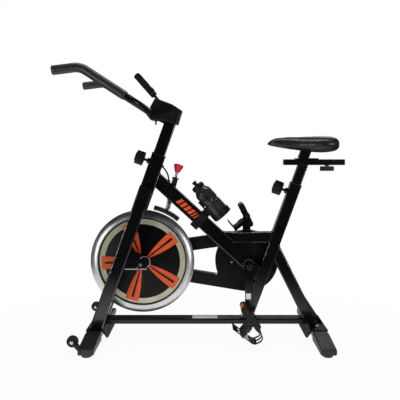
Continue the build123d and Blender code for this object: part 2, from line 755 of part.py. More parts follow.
def rim_side(side):
    """Swelling side of the rim, from its inner edge out to the narrow outer edge, as (radius, y)."""
    middle = (RIM_INNER_RADIUS + FLYWHEEL_RADIUS) / 2
    swell = (RIM_HALF_WIDTH + RIM_EDGE_HALF) / 2 + RIM_SWELL
    start = (RIM_INNER_RADIUS, side * RIM_HALF_WIDTH)
    return ThreePointArc(start, (middle, side * swell), (FLYWHEEL_RADIUS, side * RIM_EDGE_HALF))


def flywheel():
    """Heavy polished rim, thin web with a raised face, and a bored hub."""
    inside = Polyline(
        (RIM_INNER_RADIUS, RIM_HALF_WIDTH), (RIM_INNER_RADIUS, WEB_HALF), (RING_INNER_RADIUS, WEB_HALF),
        (RING_INNER_RADIUS, FACE_HALF), (HUB_RADIUS, FACE_HALF), (HUB_RADIUS, HUB_FAR_Y),
        (BEARING_RADIUS, HUB_FAR_Y), (BEARING_RADIUS, HUB_NEAR_Y), (HUB_RADIUS, HUB_NEAR_Y),
        (HUB_RADIUS, -FACE_HALF), (RING_INNER_RADIUS, -FACE_HALF), (RING_INNER_RADIUS, -WEB_HALF),
        (RIM_INNER_RADIUS, -WEB_HALF), (RIM_INNER_RADIUS, -RIM_HALF_WIDTH),
    )
    edge = Line((FLYWHEEL_RADIUS, -RIM_EDGE_HALF), (FLYWHEEL_RADIUS, RIM_EDGE_HALF))
    section = make_face([*inside.edges(), rim_side(-1), edge, rim_side(1)])
    return side_plane(AXLE_X, AXLE_Z) * revolve(Plane.XZ * section, Axis.Z)


def face_ring():
    return ring(AXLE_X, AXLE_Z, RING_OUTER_RADIUS, RING_INNER_RADIUS, -FACE_HALF, -WEB_HALF)


def petal(angle):
    """A pair of leaf-shaped petals joined at their outer end, on the near face."""
    straight = PETAL_OUTER_RADIUS * cos(asin(PETAL_OUTER_HALF / PETAL_OUTER_RADIUS))
    middle = (PETAL_INNER_RADIUS + straight) / 2
    swell = (PETAL_INNER_HALF + PETAL_OUTER_HALF) / 2 + PETAL_SWELL
    low = (PETAL_INNER_RADIUS, -PETAL_INNER_HALF)
    high = (PETAL_INNER_RADIUS, PETAL_INNER_HALF)
    outline = make_face([
        ThreePointArc(low, (middle, -swell), (straight, -PETAL_OUTER_HALF)),
        ThreePointArc((straight, -PETAL_OUTER_HALF), (PETAL_OUTER_RADIUS, 0), (straight, PETAL_OUTER_HALF)),
        ThreePointArc((straight, PETAL_OUTER_HALF), (middle, swell), high),
        Line(high, low),
    ])
    slit = make_face(Polyline(
        (PETAL_INNER_RADIUS - 1, -SLIT_INNER_HALF), (SLIT_OUTER_RADIUS, -SLIT_OUTER_HALF),
        (SLIT_OUTER_RADIUS, SLIT_OUTER_HALF), (PETAL_INNER_RADIUS - 1, SLIT_INNER_HALF), close=True,
    ))
    shape = Pos(AXLE_X, AXLE_Z) * Rot(0, 0, angle) * (outline - slit)
    return slab(shape, -FACE_HALF - PETAL_THICKNESS, -FACE_HALF)


def petals():
    angles = [PETAL_FIRST_ANGLE + 360 / PETAL_COUNT * k for k in range(PETAL_COUNT)]
    near = [petal(angle) for angle in angles]
    return near + [far_side(one) for one in near]


def flywheel_bearings():
    inner = AXLE_RADIUS + RUNNING_CLEARANCE
    starts = (HUB_NEAR_Y, HUB_FAR_Y - BEARING_WIDTH)
    return [ring(AXLE_X, AXLE_Z, BEARING_RADIUS, inner, y, y + BEARING_WIDTH) for y in starts]


def lipped_pulley(plane, bore, hub, hub_from, hub_to, radius, web_from, web_to):
    """Flat pulley with a lip on each side of the belt's track."""
    low = PULLEY_NEAR_Y
    high = low + PULLEY_WIDTH
    lip = PULLEY_LIP_WIDTH
    rim = radius - PULLEY_RIM
    return spun(
        plane, (bore, hub_from), (hub, hub_from), (hub, web_from), (rim, web_from), (rim, low - lip),
        (radius + PULLEY_LIP, low - lip), (radius + PULLEY_LIP, low), (radius, low), (radius, high),
        (radius + PULLEY_LIP, high), (radius + PULLEY_LIP, high + lip), (rim, high + lip), (rim, web_to),
        (hub, web_to), (hub, hub_to), (bore, hub_to),
    )


def crank_pulley():
    middle = PULLEY_NEAR_Y + PULLEY_WIDTH / 2
    pulley = lipped_pulley(
        side_plane(CRANK_X, CRANK_Z), SPINDLE_RADIUS, PULLEY_HUB_RADIUS, PULLEY_NEAR_Y - 3, HUB_FAR_Y,
        BIG_PULLEY_RADIUS, middle - PULLEY_DISC / 2, middle + PULLEY_DISC / 2,
    )
    for hole in PolarLocations((PULLEY_HUB_RADIUS + BIG_PULLEY_RADIUS - PULLEY_RIM) / 2, PULLEY_HOLES):
        centre = hole.position
        pulley -= disc(CRANK_X + centre.X, CRANK_Z + centre.Y, PULLEY_HOLE_RADIUS, 0, 2 * middle)
    return pulley


def flywheel_pulley():
    low = PULLEY_NEAR_Y
    high = low + PULLEY_WIDTH
    lip = PULLEY_LIP_WIDTH
    radius = SMALL_PULLEY_RADIUS
    return spun(
        side_plane(AXLE_X, AXLE_Z), (HUB_RADIUS, low - lip), (radius + PULLEY_LIP, low - lip),
        (radius + PULLEY_LIP, low), (radius, low), (radius, high), (radius + PULLEY_LIP, high),
        (radius + PULLEY_LIP, high + lip), (HUB_RADIUS, high + lip),
    )


def belt_outline(big, small):
    """Outline of a belt of the given outer radii round the crank and the flywheel axle."""
    run = Vector(AXLE_X - CRANK_X, AXLE_Z - CRANK_Z)
    along = run.normalized()
    square = Vector(-along.Y, along.X)
    tilt = (big - small) / run.length
    rise = (1 - tilt * tilt) ** 0.5
    corners = []
    for side in (1, -1):
        normal = along * tilt + square * (rise * side)
        corners.append((CRANK_X + normal.X * big, CRANK_Z + normal.Y * big))
        corners.append((AXLE_X + normal.X * small, AXLE_Z + normal.Y * small))
    band = make_face(Polyline(corners[0], corners[1], corners[3], corners[2], close=True))
    return band + Pos(CRANK_X, CRANK_Z) * Circle(big) + Pos(AXLE_X, AXLE_Z) * Circle(small)


def drive_belt():
    inner_big = BIG_PULLEY_RADIUS + BELT_GAP
    inner_small = SMALL_PULLEY_RADIUS + BELT_GAP
    loop = belt_outline(inner_big + BELT_THICKNESS, inner_small + BELT_THICKNESS)
    loop -= belt_outline(inner_big, inner_small)
    return slab(loop, PULLEY_NEAR_Y + BELT_SIDE_GAP, PULLEY_NEAR_Y + PULLEY_WIDTH - BELT_SIDE_GAP)


def guard_window(wall):
    """Opening between the guard's two arms, grown by a wall."""
    middle = belt_outline(GUARD_BIG_RADIUS - GUARD_ARM + wall, GUARD_SMALL_RADIUS - GUARD_ARM + wall)
    middle -= Pos(CRANK_X, CRANK_Z) * Circle(GUARD_WINDOW_REAR_RADIUS - wall)
    return middle - Pos(AXLE_X, AXLE_Z) * Circle(GUARD_WINDOW_FRONT_RADIUS - wall)


def guard_half(y_low, y_high, floor_low, crank_hole, axle_hole):
    """One tray of the belt guard: a floor with a wall round its outline and its window."""
    body = slab(belt_outline(GUARD_BIG_RADIUS, GUARD_SMALL_RADIUS) - guard_window(0), y_low, y_high)
    cavity = belt_outline(GUARD_BIG_RADIUS - GUARD_WALL, GUARD_SMALL_RADIUS - GUARD_WALL)
    cavity -= guard_window(GUARD_WALL)
    if floor_low:
        body -= slab(cavity, y_low + GUARD_WALL, y_high)
    else:
        body -= slab(cavity, y_low, y_high - GUARD_WALL)
    body -= disc(CRANK_X, CRANK_Z, crank_hole, y_low, y_high)
    return body - disc(AXLE_X, AXLE_Z, axle_hole, y_low, y_high)


def bottom_bracket():
    return ring(CRANK_X, CRANK_Z, SHELL_RADIUS, SHELL_RADIUS - SHELL_WALL, SHELL_NEAR_Y, FRAME_SIDE)


def crank_bearings():
    inner = SPINDLE_RADIUS + RUNNING_CLEARANCE
    starts = (SHELL_NEAR_Y, FRAME_SIDE - CRANK_BEARING_WIDTH)
    outer = SHELL_RADIUS - SHELL_WALL
    return [ring(CRANK_X, CRANK_Z, outer, inner, y, y + CRANK_BEARING_WIDTH) for y in starts]


def crank_spindle():
    return disc(CRANK_X, CRANK_Z, SPINDLE_RADIUS, -CRANK_FAR_Y, CRANK_FAR_Y)


def crank_arm(direction, y_low, y_high):
    """Tapered arm with a boss on the spindle, pointing up or down."""
    end_z = CRANK_Z + direction * CRANK_LENGTH
    boss = CRANK_BOSS_RADIUS
    end = CRANK_END_RADIUS
    blade = make_face(Polyline(
        (CRANK_X - boss * 0.9, CRANK_Z), (CRANK_X + boss * 0.9, CRANK_Z), (CRANK_X + end, end_z),
        (CRANK_X - end, end_z), close=True,
    ))
    outline = blade + Pos(CRANK_X, CRANK_Z) * Circle(boss) + Pos(CRANK_X, end_z) * Circle(end)
    arm = slab(outline, y_low, y_high)
    arm += disc(CRANK_X, CRANK_Z, boss, y_low - CRANK_BOSS_EXTRA, y_high + CRANK_BOSS_EXTRA)
    arm -= disc(CRANK_X, CRANK_Z, SPINDLE_RADIUS, -SPACE / 2, SPACE / 2)
    return arm - disc(CRANK_X, end_z, PEDAL_SPINDLE_RADIUS, -SPACE / 2, SPACE / 2)


def crank_fasteners():
    """Two crank bolts and the two pedal spindles screwed into the arms."""
    near_face = CRANK_FAR_Y + CRANK_BOSS_EXTRA
    pieces = []
    for side, direction in ((-1, -1), (1, 1)):
        z = CRANK_Z + direction * CRANK_LENGTH
        bolt = disc(CRANK_X, CRANK_Z, CRANK_BOLT_RADIUS, CRANK_FAR_Y, near_face + CRANK_BOLT_LENGTH)
        tip = PEDAL_INNER_Y + PEDAL_WIDTH - PEDAL_PLATE
        spindle = disc(CRANK_X, z, PEDAL_SPINDLE_RADIUS, CRANK_NEAR_Y, tip)
        spindle += disc(CRANK_X, z, PEDAL_COLLAR_RADIUS, CRANK_FAR_Y, PEDAL_INNER_Y - 2)
        if side < 0:
            bolt = far_side(bolt)
            spindle = far_side(spindle)
        pieces += [bolt, spindle]
    return pieces


def level_pedal():
    """Pedal on the far side's spindle, level, with its toe towards the front, centred on the axis."""
    low = PEDAL_INNER_Y
    high = PEDAL_INNER_Y + PEDAL_WIDTH
    plate = RectangleRounded(PEDAL_LENGTH, PEDAL_HEIGHT, PEDAL_HEIGHT / 2 - 1)
    body = slab(plate, low, low + PEDAL_PLATE) + slab(plate, high - PEDAL_PLATE, high)
    for side in (-1, 1):
        x = side * (PEDAL_LENGTH / 2 - PEDAL_BAR / 2 - 2)
        body += slab(Pos(x, 0) * RectangleRounded(PEDAL_BAR, PEDAL_BAR_HEIGHT, 3), low, high)
    body += disc(0, 0, PEDAL_BARREL_RADIUS, low, high)
    return body - disc(0, 0, PEDAL_SPINDLE_RADIUS + RUNNING_CLEARANCE, low - 1, high - PEDAL_PLATE + 1)


def level_toe_cage():
    """Ribbed toe basket that arches over the shoe's tip, with a strap that leans up to it from the pedal."""
    middle = PEDAL_INNER_Y + PEDAL_WIDTH / 2
    half = CAGE_WIDTH / 2
    front = -PEDAL_LENGTH / 2
    brow = front - CAGE_BROW_REACH
    toe = front - CAGE_TOE_REACH
    path = FilletPolyline(
        (front + CAGE_TAIL, PEDAL_HEIGHT / 2), (toe, CAGE_TOE_LOW), (brow, CAGE_TOE_HEIGHT),
        (CAGE_TOP_BACK, CAGE_TOP_HEIGHT), radius=CAGE_RADIUS,
    )
    cage = slab(trace(path, CAGE_THICKNESS), middle - half, middle + half)
    pane = half - CAGE_RIB * 1.5
    toe_pane = Rectangle(CAGE_TOE_REACH, TOE_WINDOW_HEIGHT)
    toe_window = Pos(toe, TOE_WINDOW_MIDDLE) * toe_pane
    top_pane = Rectangle(TOP_WINDOW_LENGTH, CAGE_TOE_HEIGHT)
    top_window = Pos(front + TOP_WINDOW_BACK, CAGE_TOP_HEIGHT) * top_pane
    for side in (-1, 1):
        y = middle + side * (CAGE_RIB / 2 + pane / 2)
        cage -= slab(toe_window, y - pane / 2, y + pane / 2)
        cage -= slab(top_window, y - pane / 2, y + pane / 2)
    slope = (CAGE_TOP_HEIGHT - CAGE_TOE_HEIGHT) / (CAGE_TOP_BACK - brow)
    top = CAGE_TOP_HEIGHT - slope * (CAGE_TOP_BACK + STRAP_TOP) + CAGE_THICKNESS
    low = -PEDAL_HEIGHT / 3
    reach = STRAP_WIDTH / 2
    band = make_face(Polyline(
        (-STRAP_FOOT - reach, low), (-STRAP_FOOT + reach, low), (-STRAP_TOP + reach, top),
        (-STRAP_TOP - reach, top), close=True,
    ))
    outer = PEDAL_WIDTH / 2 + STRAP_THICKNESS
    inner = PEDAL_WIDTH / 2
    strap = slab(band, middle - outer, middle + outer)
    strap -= slab(Pos(0, -STRAP_THICKNESS) * band, middle - inner, middle + inner)
    return largest(cage + strap - level_pedal())


def hung(shape, side):
    """A level pedal piece turned to hang and carried to its crank's end."""
    turned = Rot(0, NEAR_PEDAL_TURN if side < 0 else FAR_PEDAL_TURN, 0) * shape
    if side < 0:
        turned = far_side(turned)
    return Pos(CRANK_X, 0, CRANK_Z + side * CRANK_LENGTH) * turned


def stem():
    """Forward stem from the post's top to a round clamp on the bar."""
    start = front_point(HEAD_POST_TOP_Z) - lean_vector(FRONT_LEAN) * (STEM_DEPTH / 2)
    neck = bar(start, Vector(BAR_X, 0, BAR_Z), STEM_DEPTH, STEM_WIDTH)
    return neck + disc(BAR_X, BAR_Z, CLAMP_RADIUS, -STEM_WIDTH / 2, STEM_WIDTH / 2)


def bar_passage():
    return disc(BAR_X, BAR_Z, BAR_RADIUS, -SPACE / 2, SPACE / 2)


def handlebar_post():
    """Square post with its stem and clamp, bored for the bar."""
    top = front_point(HEAD_POST_TOP_Z)
    post = tube(front_point(HEAD_POST_BOTTOM_Z), top, HEAD_POST, HEAD_POST, TUBE_WALL, POST_CORNER)
    return post + stem() - bar_passage()


def bar_corners():
    """Corners of the bar's far half before bending: the grip's end, the horn's bend and the elbow."""
    end = Vector(GRIP_END_X + GRIP_END, HORN_Y, GRIP_END_Z)
    return end, Vector(HORN_X, HORN_Y, HORN_Z), Vector(BAR_X, HORN_Y, BAR_Z)


def bar_path():
    points = list(bar_corners())
    points += [Vector(p.X, -p.Y, p.Z) for p in reversed(points)]
    return FilletPolyline(*points, radius=[HORN_BEND, CROSS_BEND, CROSS_BEND, HORN_BEND])


def handlebar():
    path = bar_path()
    section = Circle(BAR_RADIUS) - Circle(BAR_RADIUS - BAR_WALL)
    return sweep(Plane(origin=path @ 0, z_dir=path % 0) * section, path)


def grip():
    """Foam sleeve from the bar's closed end, round the bend and down to the elbow, on the far side."""
    end, horn, elbow = bar_corners()
    stop = elbow + (horn - elbow).normalized() * (CROSS_BEND + GRIP_STOP)
    path = FilletPolyline(end, horn, stop, radius=HORN_BEND)
    section = Circle(GRIP_RADIUS) - Circle(BAR_RADIUS)
    sleeve = sweep(Plane(origin=path @ 0, z_dir=path % 0) * section, path)
    return sleeve + rod(end, end + (end - horn).normalized() * GRIP_END, GRIP_RADIUS)


def cover_blank():
    block = slab(make_face(Polyline(*COVER_POINTS, close=True)), -COVER_HALF_WIDTH, COVER_HALF_WIDTH)
    return fillet(block.edges().filter_by(Axis.Y, reverse=True), COVER_ROUND)


def handlebar_cover():
    """Moulded cover over the stem and clamp, open to the post below and the bar at its sides."""
    foot = front_point(HEAD_POST_BOTTOM_Z)
    post = bar(foot, front_point(HEAD_POST_TOP_Z), HEAD_POST, HEAD_POST, POST_CORNER)
    return largest(cover_blank() - post - stem() - bar_passage())


CONSOLE_NORMAL = lean_vector(CONSOLE_FACE_LEAN)
CONSOLE_UP = across_vector(CONSOLE_FACE_LEAN) * -1


def console_plane(up, out):
    origin = Vector(CONSOLE_X, 0, CONSOLE_Z) + CONSOLE_UP * up + CONSOLE_NORMAL * out
    return line_plane(origin, CONSOLE_NORMAL)


def console():
    """Display housing that faces the rider: recessed screen, button well and a neck to the cover."""
    face = CONSOLE_THICKNESS / 2
    outline = RectangleRounded(CONSOLE_WIDTH, CONSOLE_LENGTH, CONSOLE_CORNER)
    body = extrude(console_plane(0, -face) * outline, CONSOLE_THICKNESS)
    side = Plane(origin=(CONSOLE_X, CONSOLE_WIDTH / 2, CONSOLE_Z), x_dir=CONSOLE_NORMAL, z_dir=(0, -1, 0))
    profile = Rectangle(CONSOLE_THICKNESS, CONSOLE_LENGTH)
    profile = fillet(profile.vertices().sort_by(Axis.Y)[-2:], CONSOLE_BROW)
    profile = fillet(profile.vertices().sort_by(Axis.Y)[:2], CONSOLE_EDGE)
    body &= extrude(side * profile, CONSOLE_WIDTH)
    low = Vector(CONSOLE_X, 0, CONSOLE_Z) - CONSOLE_UP * (CONSOLE_LENGTH / 2 - NECK_DEPTH * 2)
    body += bar(low, low - CONSOLE_UP * (NECK_REACH + NECK_DEPTH), NECK_DEPTH, NECK_WIDTH) - cover_blank()
    screen = RectangleRounded(SCREEN_WIDTH, SCREEN_LENGTH, SCREEN_DEPTH * 2)
    body -= extrude(console_plane(SCREEN_UP, face - SCREEN_DEPTH) * screen, SCREEN_DEPTH * 2)
    well = console_plane(-BUTTON_DOWN, face - BUTTON_DEPTH - SCREEN_DEPTH)
    body -= extrude(well * Circle(BUTTON_RADIUS + BUTTON_GAP), BUTTON_DEPTH * 2)
    return largest(body)


def console_button():
    plane = console_plane(-BUTTON_DOWN, CONSOLE_THICKNESS / 2 - BUTTON_DEPTH)
    cap = extrude(plane * Circle(BUTTON_RADIUS), BUTTON_DEPTH + BUTTON_PROUD)
    return cap


def seat_rail_bar(inset):
    """The seat rail's block, made smaller by an inset on every side."""
    centre_x = (SEAT_RAIL_FRONT_X + SEAT_RAIL_REAR_X) / 2
    length = SEAT_RAIL_REAR_X - SEAT_RAIL_FRONT_X
    centre_z = SEAT_RAIL_Z + SEAT_RAIL_HEIGHT / 2
    return Pos(centre_x, 0, centre_z) * Box(
        length - 2 * inset, SEAT_RAIL_WIDTH - 2 * inset, SEAT_RAIL_HEIGHT - 2 * inset
    )


def seat_post():
    """Square post welded to a hollow rail with a slot in its top for the slider."""
    foot = seat_point(SEAT_POST_BOTTOM_Z)
    post = tube(foot, seat_point(SEAT_RAIL_TOP), SEAT_POST, SEAT_POST_WIDTH, TUBE_WALL, POST_CORNER)
    post -= above(SEAT_RAIL_Z)
    rail = seat_rail_bar(0)
    rail = fillet(rail.edges().filter_by(Axis.X), TUBE_WALL)
    boss_middle = Pos(RAIL_KNOB_X, 0, SEAT_RAIL_Z - RAIL_BOSS_LENGTH / 2)
    boss = boss_middle * Cylinder(RAIL_BOSS_RADIUS, RAIL_BOSS_LENGTH)
    slot_front = SLIDER_WEB_FRONT_X - SLIDER_TRAVEL_FORWARD - TUBE_WALL
    slot_rear = SLIDER_WEB_REAR_X + SLIDER_TRAVEL_BACK + TUBE_WALL
    slot = Pos((slot_front + slot_rear) / 2, 0, SEAT_RAIL_TOP) * Box(
        slot_rear - slot_front, SLIDER_WEB_WIDTH, 4 * TUBE_WALL
    )
    hole = boss_middle * Cylinder(RAIL_KNOB_BOLT + RUNNING_CLEARANCE, 4 * RAIL_BOSS_LENGTH)
    return post + (rail - seat_rail_bar(TUBE_WALL) - slot) + boss - hole


def stem_blank():
    foot = Vector(SADDLE_STEM_X, 0, SEAT_RAIL_TOP + SLIDER_CLEARANCE)
    rise = SADDLE_SEAT_Z + SADDLE_STEM_SUNK - foot.Z
    top = foot + lean_vector(SEAT_LEAN) * (rise / cos(radians(SEAT_LEAN)))
    return bar(foot, top, SADDLE_STEM_DEPTH, SADDLE_STEM_WIDTH, POST_CORNER)


def seat_slider():
    """Bar inside the rail, web through the slot, plate on top and the saddle's stem."""
    gap = SLIDER_CLEARANCE
    low = SEAT_RAIL_Z + TUBE_WALL + gap
    high = SEAT_RAIL_TOP - TUBE_WALL - gap
    runner = Pos((SLIDER_FRONT_X + SLIDER_REAR_X) / 2, 0, (low + high) / 2) * Box(
        SLIDER_REAR_X - SLIDER_FRONT_X, SEAT_RAIL_WIDTH - 2 * TUBE_WALL - 2 * gap, high - low
    )
    plate_low = SEAT_RAIL_TOP + gap
    web_x = (SLIDER_WEB_FRONT_X + SLIDER_WEB_REAR_X) / 2
    web_length = SLIDER_WEB_REAR_X - SLIDER_WEB_FRONT_X
    web_middle = Pos(web_x, 0, (high + plate_low) / 2)
    web = web_middle * Box(web_length, SLIDER_WEB_WIDTH - 2 * gap, plate_low - high + SLIDER_PLATE)
    plate_length = web_length + 2 * SLIDER_PLATE_OVERHANG
    plate = Pos(web_x, 0, plate_low + SLIDER_PLATE / 2) * Box(plate_length, SEAT_RAIL_WIDTH, SLIDER_PLATE)
    return runner + web + plate + (stem_blank() - below(plate_low))


def saddle_section(x, half, low, high):
    """Closed outline at x: flat below, drawn-in sides and a crowned top."""
    middle = low + (high - low) * 0.5
    shoulder = low + (high - low) * 0.84
    base = half * 0.8
    brow = half * 0.78
    return make_face([
        Line((x, -base, low), (x, base, low)),
        ThreePointArc((x, base, low), (x, half, middle), (x, brow, shoulder)),
        ThreePointArc((x, brow, shoulder), (x, 0, high), (x, -brow, shoulder)),
        ThreePointArc((x, -brow, shoulder), (x, -half, middle), (x, -base, low)),
    ])


def saddle():
    """Padded saddle: slim nose, wide raised rear, hollowed where the stem seats."""
    body = loft([saddle_section(*station) for station in SADDLE_STATIONS])
    return body - stem_blank()


def rail_knob():
    """Wing knob below the rail on a bolt that bears on the slider."""
    head_top = SEAT_RAIL_Z - RAIL_BOSS_LENGTH - RAIL_KNOB_GAP
    wing = RectangleRounded(RAIL_KNOB_LENGTH, RAIL_KNOB_WIDTH, RAIL_KNOB_WIDTH / 2 - 1)
    head_low = head_top - RAIL_KNOB_HEIGHT
    head = extrude(Plane((RAIL_KNOB_X, 0, head_low)) * wing, RAIL_KNOB_HEIGHT)
    tip = SEAT_RAIL_Z + TUBE_WALL - SLIDER_CLEARANCE / 2
    return head + rod(Vector(RAIL_KNOB_X, 0, head_low), Vector(RAIL_KNOB_X, 0, tip), RAIL_KNOB_BOLT)


def brake_point(down):
    """Point on the brake rod's axis, a distance below the knob's centre."""
    return Vector(BRAKE_X, 0, BRAKE_Z) - lean_vector(BRAKE_LEAN) * down


def brake_plane(down):
    return line_plane(brake_point(down), lean_vector(BRAKE_LEAN))


def brake_contact():
    """How far down the rod's axis the pad's face lies."""
    axis = lean_vector(BRAKE_LEAN)
    offset = Vector(BRAKE_X - AXLE_X, 0, BRAKE_Z - AXLE_Z)
    along = offset.dot(axis)
    radius = FLYWHEEL_RADIUS + PAD_GAP
    return along - (radius * radius - offset.dot(offset) + along * along) ** 0.5


def brake_guide():
    """Sleeve through the down tube with a flange on top."""
    sleeve = rod(brake_point(BRAKE_GUIDE_BOTTOM), brake_point(BRAKE_GUIDE_TOP), BRAKE_GUIDE_RADIUS)
    flange = rod(
        brake_point(BRAKE_GUIDE_TOP + BRAKE_FLANGE_LENGTH), brake_point(BRAKE_GUIDE_TOP), BRAKE_FLANGE_RADIUS
    )
    bore = rod(brake_point(SPACE / 2), brake_point(-SPACE / 2), BRAKE_ROD_RADIUS + RUNNING_CLEARANCE)
    return sleeve + flange - bore


def pad_arc(inner, outer, y_half):
    """Arc segment round the flywheel, centred where the rod meets it."""
    contact = brake_point(brake_contact())
    angle = degrees(asin((contact.Z - AXLE_Z) / (FLYWHEEL_RADIUS + PAD_GAP)))
    band = Circle(outer) - Circle(inner)
    half = PAD_ARC / 2
    reach = outer * 1.5
    wedge = make_face(Polyline(
        (0, 0), (reach * cos(radians(half)), -reach * sin(radians(half))),
        (reach * cos(radians(half)), reach * sin(radians(half))), close=True,
    ))
    return slab(Pos(AXLE_X, AXLE_Z) * Rot(0, 0, angle) * (band & wedge), -y_half, y_half)


def brake_pad():
    inner = FLYWHEEL_RADIUS + PAD_GAP
    return pad_arc(inner, inner + PAD_THICKNESS, PAD_WIDTH / 2 - PAD_INSET)


def holder_top():
    return brake_contact() - PAD_THICKNESS - PAD_HOLDER - PAD_HOLDER_MARGIN


def brake_rod():
    """Steel rod with a spring collar, welded to the curved pad holder."""
    inner = FLYWHEEL_RADIUS + PAD_GAP + PAD_THICKNESS
    holder = pad_arc(inner, inner + PAD_HOLDER, PAD_WIDTH / 2)
    stop = brake_contact() - PAD_THICKNESS - PAD_ROD_SUNK
    shaft = rod(brake_point(stop), brake_point(BRAKE_KNOB_HALF - BRAKE_KNOB_BORE), BRAKE_ROD_RADIUS)
    collar_low = BRAKE_GUIDE_BOTTOM + SPRING_SEAT_GAP + SPRING_WASHER
    collar_top = collar_low - SPRING_WASHER
    collar = rod(brake_point(collar_low), brake_point(collar_top), SPRING_RADIUS + SPRING_WIRE)
    return shaft + holder + collar


def coil_path(radius, length, turns):
    """Helix up the local Z axis, as one biarc for each quarter turn."""
    quarters = turns * 4
    rise = length / quarters
    ends = []
    for k in range(quarters + 1):
        angle = radians(90 * k)
        point = Vector(radius * cos(angle), radius * sin(angle), rise * k)
        heading = Vector(-sin(angle), cos(angle), rise / (radius * radians(90))).normalized()
        ends.append((point, heading))
    arcs = []
    for (start, leave), (end, arrive) in zip(ends, ends[1:]):
        chord = end - start
        turn = 2 * (1 - leave.dot(arrive))
        spread = chord.dot(leave + arrive)
        reach = ((spread * spread + turn * chord.dot(chord)) ** 0.5 - spread) / turn
        middle = (start + end + (leave - arrive) * reach) * 0.5
        arcs.append(TangentArc(start, middle, tangent=leave))
        arcs.append(TangentArc(middle, end, tangent=chord - (leave + arrive) * reach))
    return Wire([arc.edge() for arc in arcs])


def least_gap(path, turns, wire):
    """Least clear distance between a coil's turns, measured on points along its path."""
    per_turn = 24
    count = turns * per_turn
    points = [path @ (k / count) for k in range(count + 1)]
    nearest = min((a - b).length for k, a in enumerate(points) for b in points[k + per_turn // 2:])
    return nearest - 2 * wire


def brake_spring():
    """Coil between the rod's collar and the pad holder."""
    top = BRAKE_GUIDE_BOTTOM + SPRING_SEAT_GAP + SPRING_WASHER + SPRING_WIRE + BELT_GAP
    low = holder_top() - SPRING_WIRE - BELT_GAP
    path = coil_path(SPRING_RADIUS, low - top, SPRING_TURNS)
    print("brake spring, least gap between turns", round(least_gap(path, SPRING_TURNS, SPRING_WIRE), 2))
    return brake_plane(low) * sweep(Plane(origin=path @ 0, z_dir=path % 0) * Circle(SPRING_WIRE), path)


def brake_knob():
    """Red inverted cone with a rounded, fluted top, bored for the rod."""
    half = BRAKE_KNOB_HALF
    body = spun(
        brake_plane(0), (0, -half), (BRAKE_KNOB_BOTTOM_RADIUS, -half),
        (BRAKE_KNOB_TOP_RADIUS, half * 0.55), (BRAKE_KNOB_TOP_RADIUS * 0.93, half * 0.85),
        (BRAKE_KNOB_TOP_RADIUS * 0.6, half), (0, half),
    )
    for flute in PolarLocations(BRAKE_KNOB_TOP_RADIUS + BRAKE_KNOB_FLUTE_RADIUS / 2, BRAKE_KNOB_FLUTES):
        body -= brake_plane(0) * flute * Cylinder(BRAKE_KNOB_FLUTE_RADIUS, 4 * half)
    bore_top = brake_point(half - BRAKE_KNOB_BORE - BELT_GAP)
    return body - rod(brake_point(2 * half), bore_top, BRAKE_ROD_RADIUS + RUNNING_CLEARANCE)


def sensor_cable():
    """Cable out of the back of the head tube and down into the top of the down tube, held at both ends."""
    leave = front_point(CABLE_HEAD_Z) + across_vector(FRONT_LEAN) * (HEAD_TUBE / 2)
    heading = across_vector(FRONT_LEAN + CABLE_DIP)
    enter = down_point(CABLE_ALONG_DOWN_TUBE, DOWN_TUBE_DEPTH / 2)
    corner = leave + heading * ((enter.X - leave.X) / heading.X)
    turn = heading.get_angle(enter - corner)
    shorter = min((corner - leave).length, (enter - corner).length)
    bend = 0.8 * shorter / tan(radians(turn / 2))
    print("sensor cable, bend radius", round(bend, 1))
    inlet = leave - heading * CABLE_SOCKET
    outlet = enter + (enter - corner).normalized() * CABLE_SOCKET
    path = FilletPolyline(inlet, corner, outlet, radius=bend)
    cable = sweep(Plane(origin=path @ 0, z_dir=path % 0) * Circle(CABLE_RADIUS), path)
    return largest(cable - head_blank() - down_blank())


def bottle_point(up, out=0.0):
    """Point beside the bottle's axis, up from its base and out towards the rider."""
    base = Vector(BOTTLE_X, 0, BOTTLE_Z)
    return base + lean_vector(BOTTLE_LEAN) * up + across_vector(BOTTLE_LEAN) * out


def bottle_plane(up=0.0):
    return line_plane(bottle_point(up), lean_vector(BOTTLE_LEAN))


def bottle():
    """Drinking bottle with a grip groove, and its screw cap with a spout."""
    r = BOTTLE_RADIUS
    waist = r - BOTTLE_GROOVE_DEPTH
    dip = BOTTLE_GROOVE_DEPTH
    spout_neck = SPOUT_RADIUS - SPOUT_LIP
    groove_low = BOTTLE_GROOVE - BOTTLE_GROOVE_HALF
    groove_high = BOTTLE_GROOVE + BOTTLE_GROOVE_HALF
    flask = spun(
        bottle_plane(), (0, 0), (r - BOTTLE_ROUND, 0), (r, BOTTLE_ROUND), (r, groove_low),
        (waist, groove_low + dip), (waist, groove_high - dip), (r, groove_high),
        (r, BOTTLE_SHOULDER - BOTTLE_ROUND),
        (r - BOTTLE_ROUND / 2, BOTTLE_SHOULDER), (BOTTLE_NECK_RADIUS, BOTTLE_NECK - BOTTLE_ROUND / 2),
        (BOTTLE_NECK_RADIUS, BOTTLE_NECK), (0, BOTTLE_NECK),
    )
    cap = spun(
        bottle_plane(), (0, BOTTLE_NECK), (CAP_RADIUS, BOTTLE_NECK), (CAP_RADIUS, CAP_TOP - CAP_SHOULDER),
        (CAP_RADIUS - CAP_SHOULDER, CAP_TOP), (spout_neck, CAP_TOP),
        (spout_neck, SPOUT_TOP - SPOUT_COLLAR - SPOUT_SLOPE), (SPOUT_RADIUS, SPOUT_TOP - SPOUT_COLLAR),
        (SPOUT_RADIUS, SPOUT_TOP - SPOUT_LIP), (spout_neck, SPOUT_TOP), (0, SPOUT_TOP),
    )
    return flask, cap


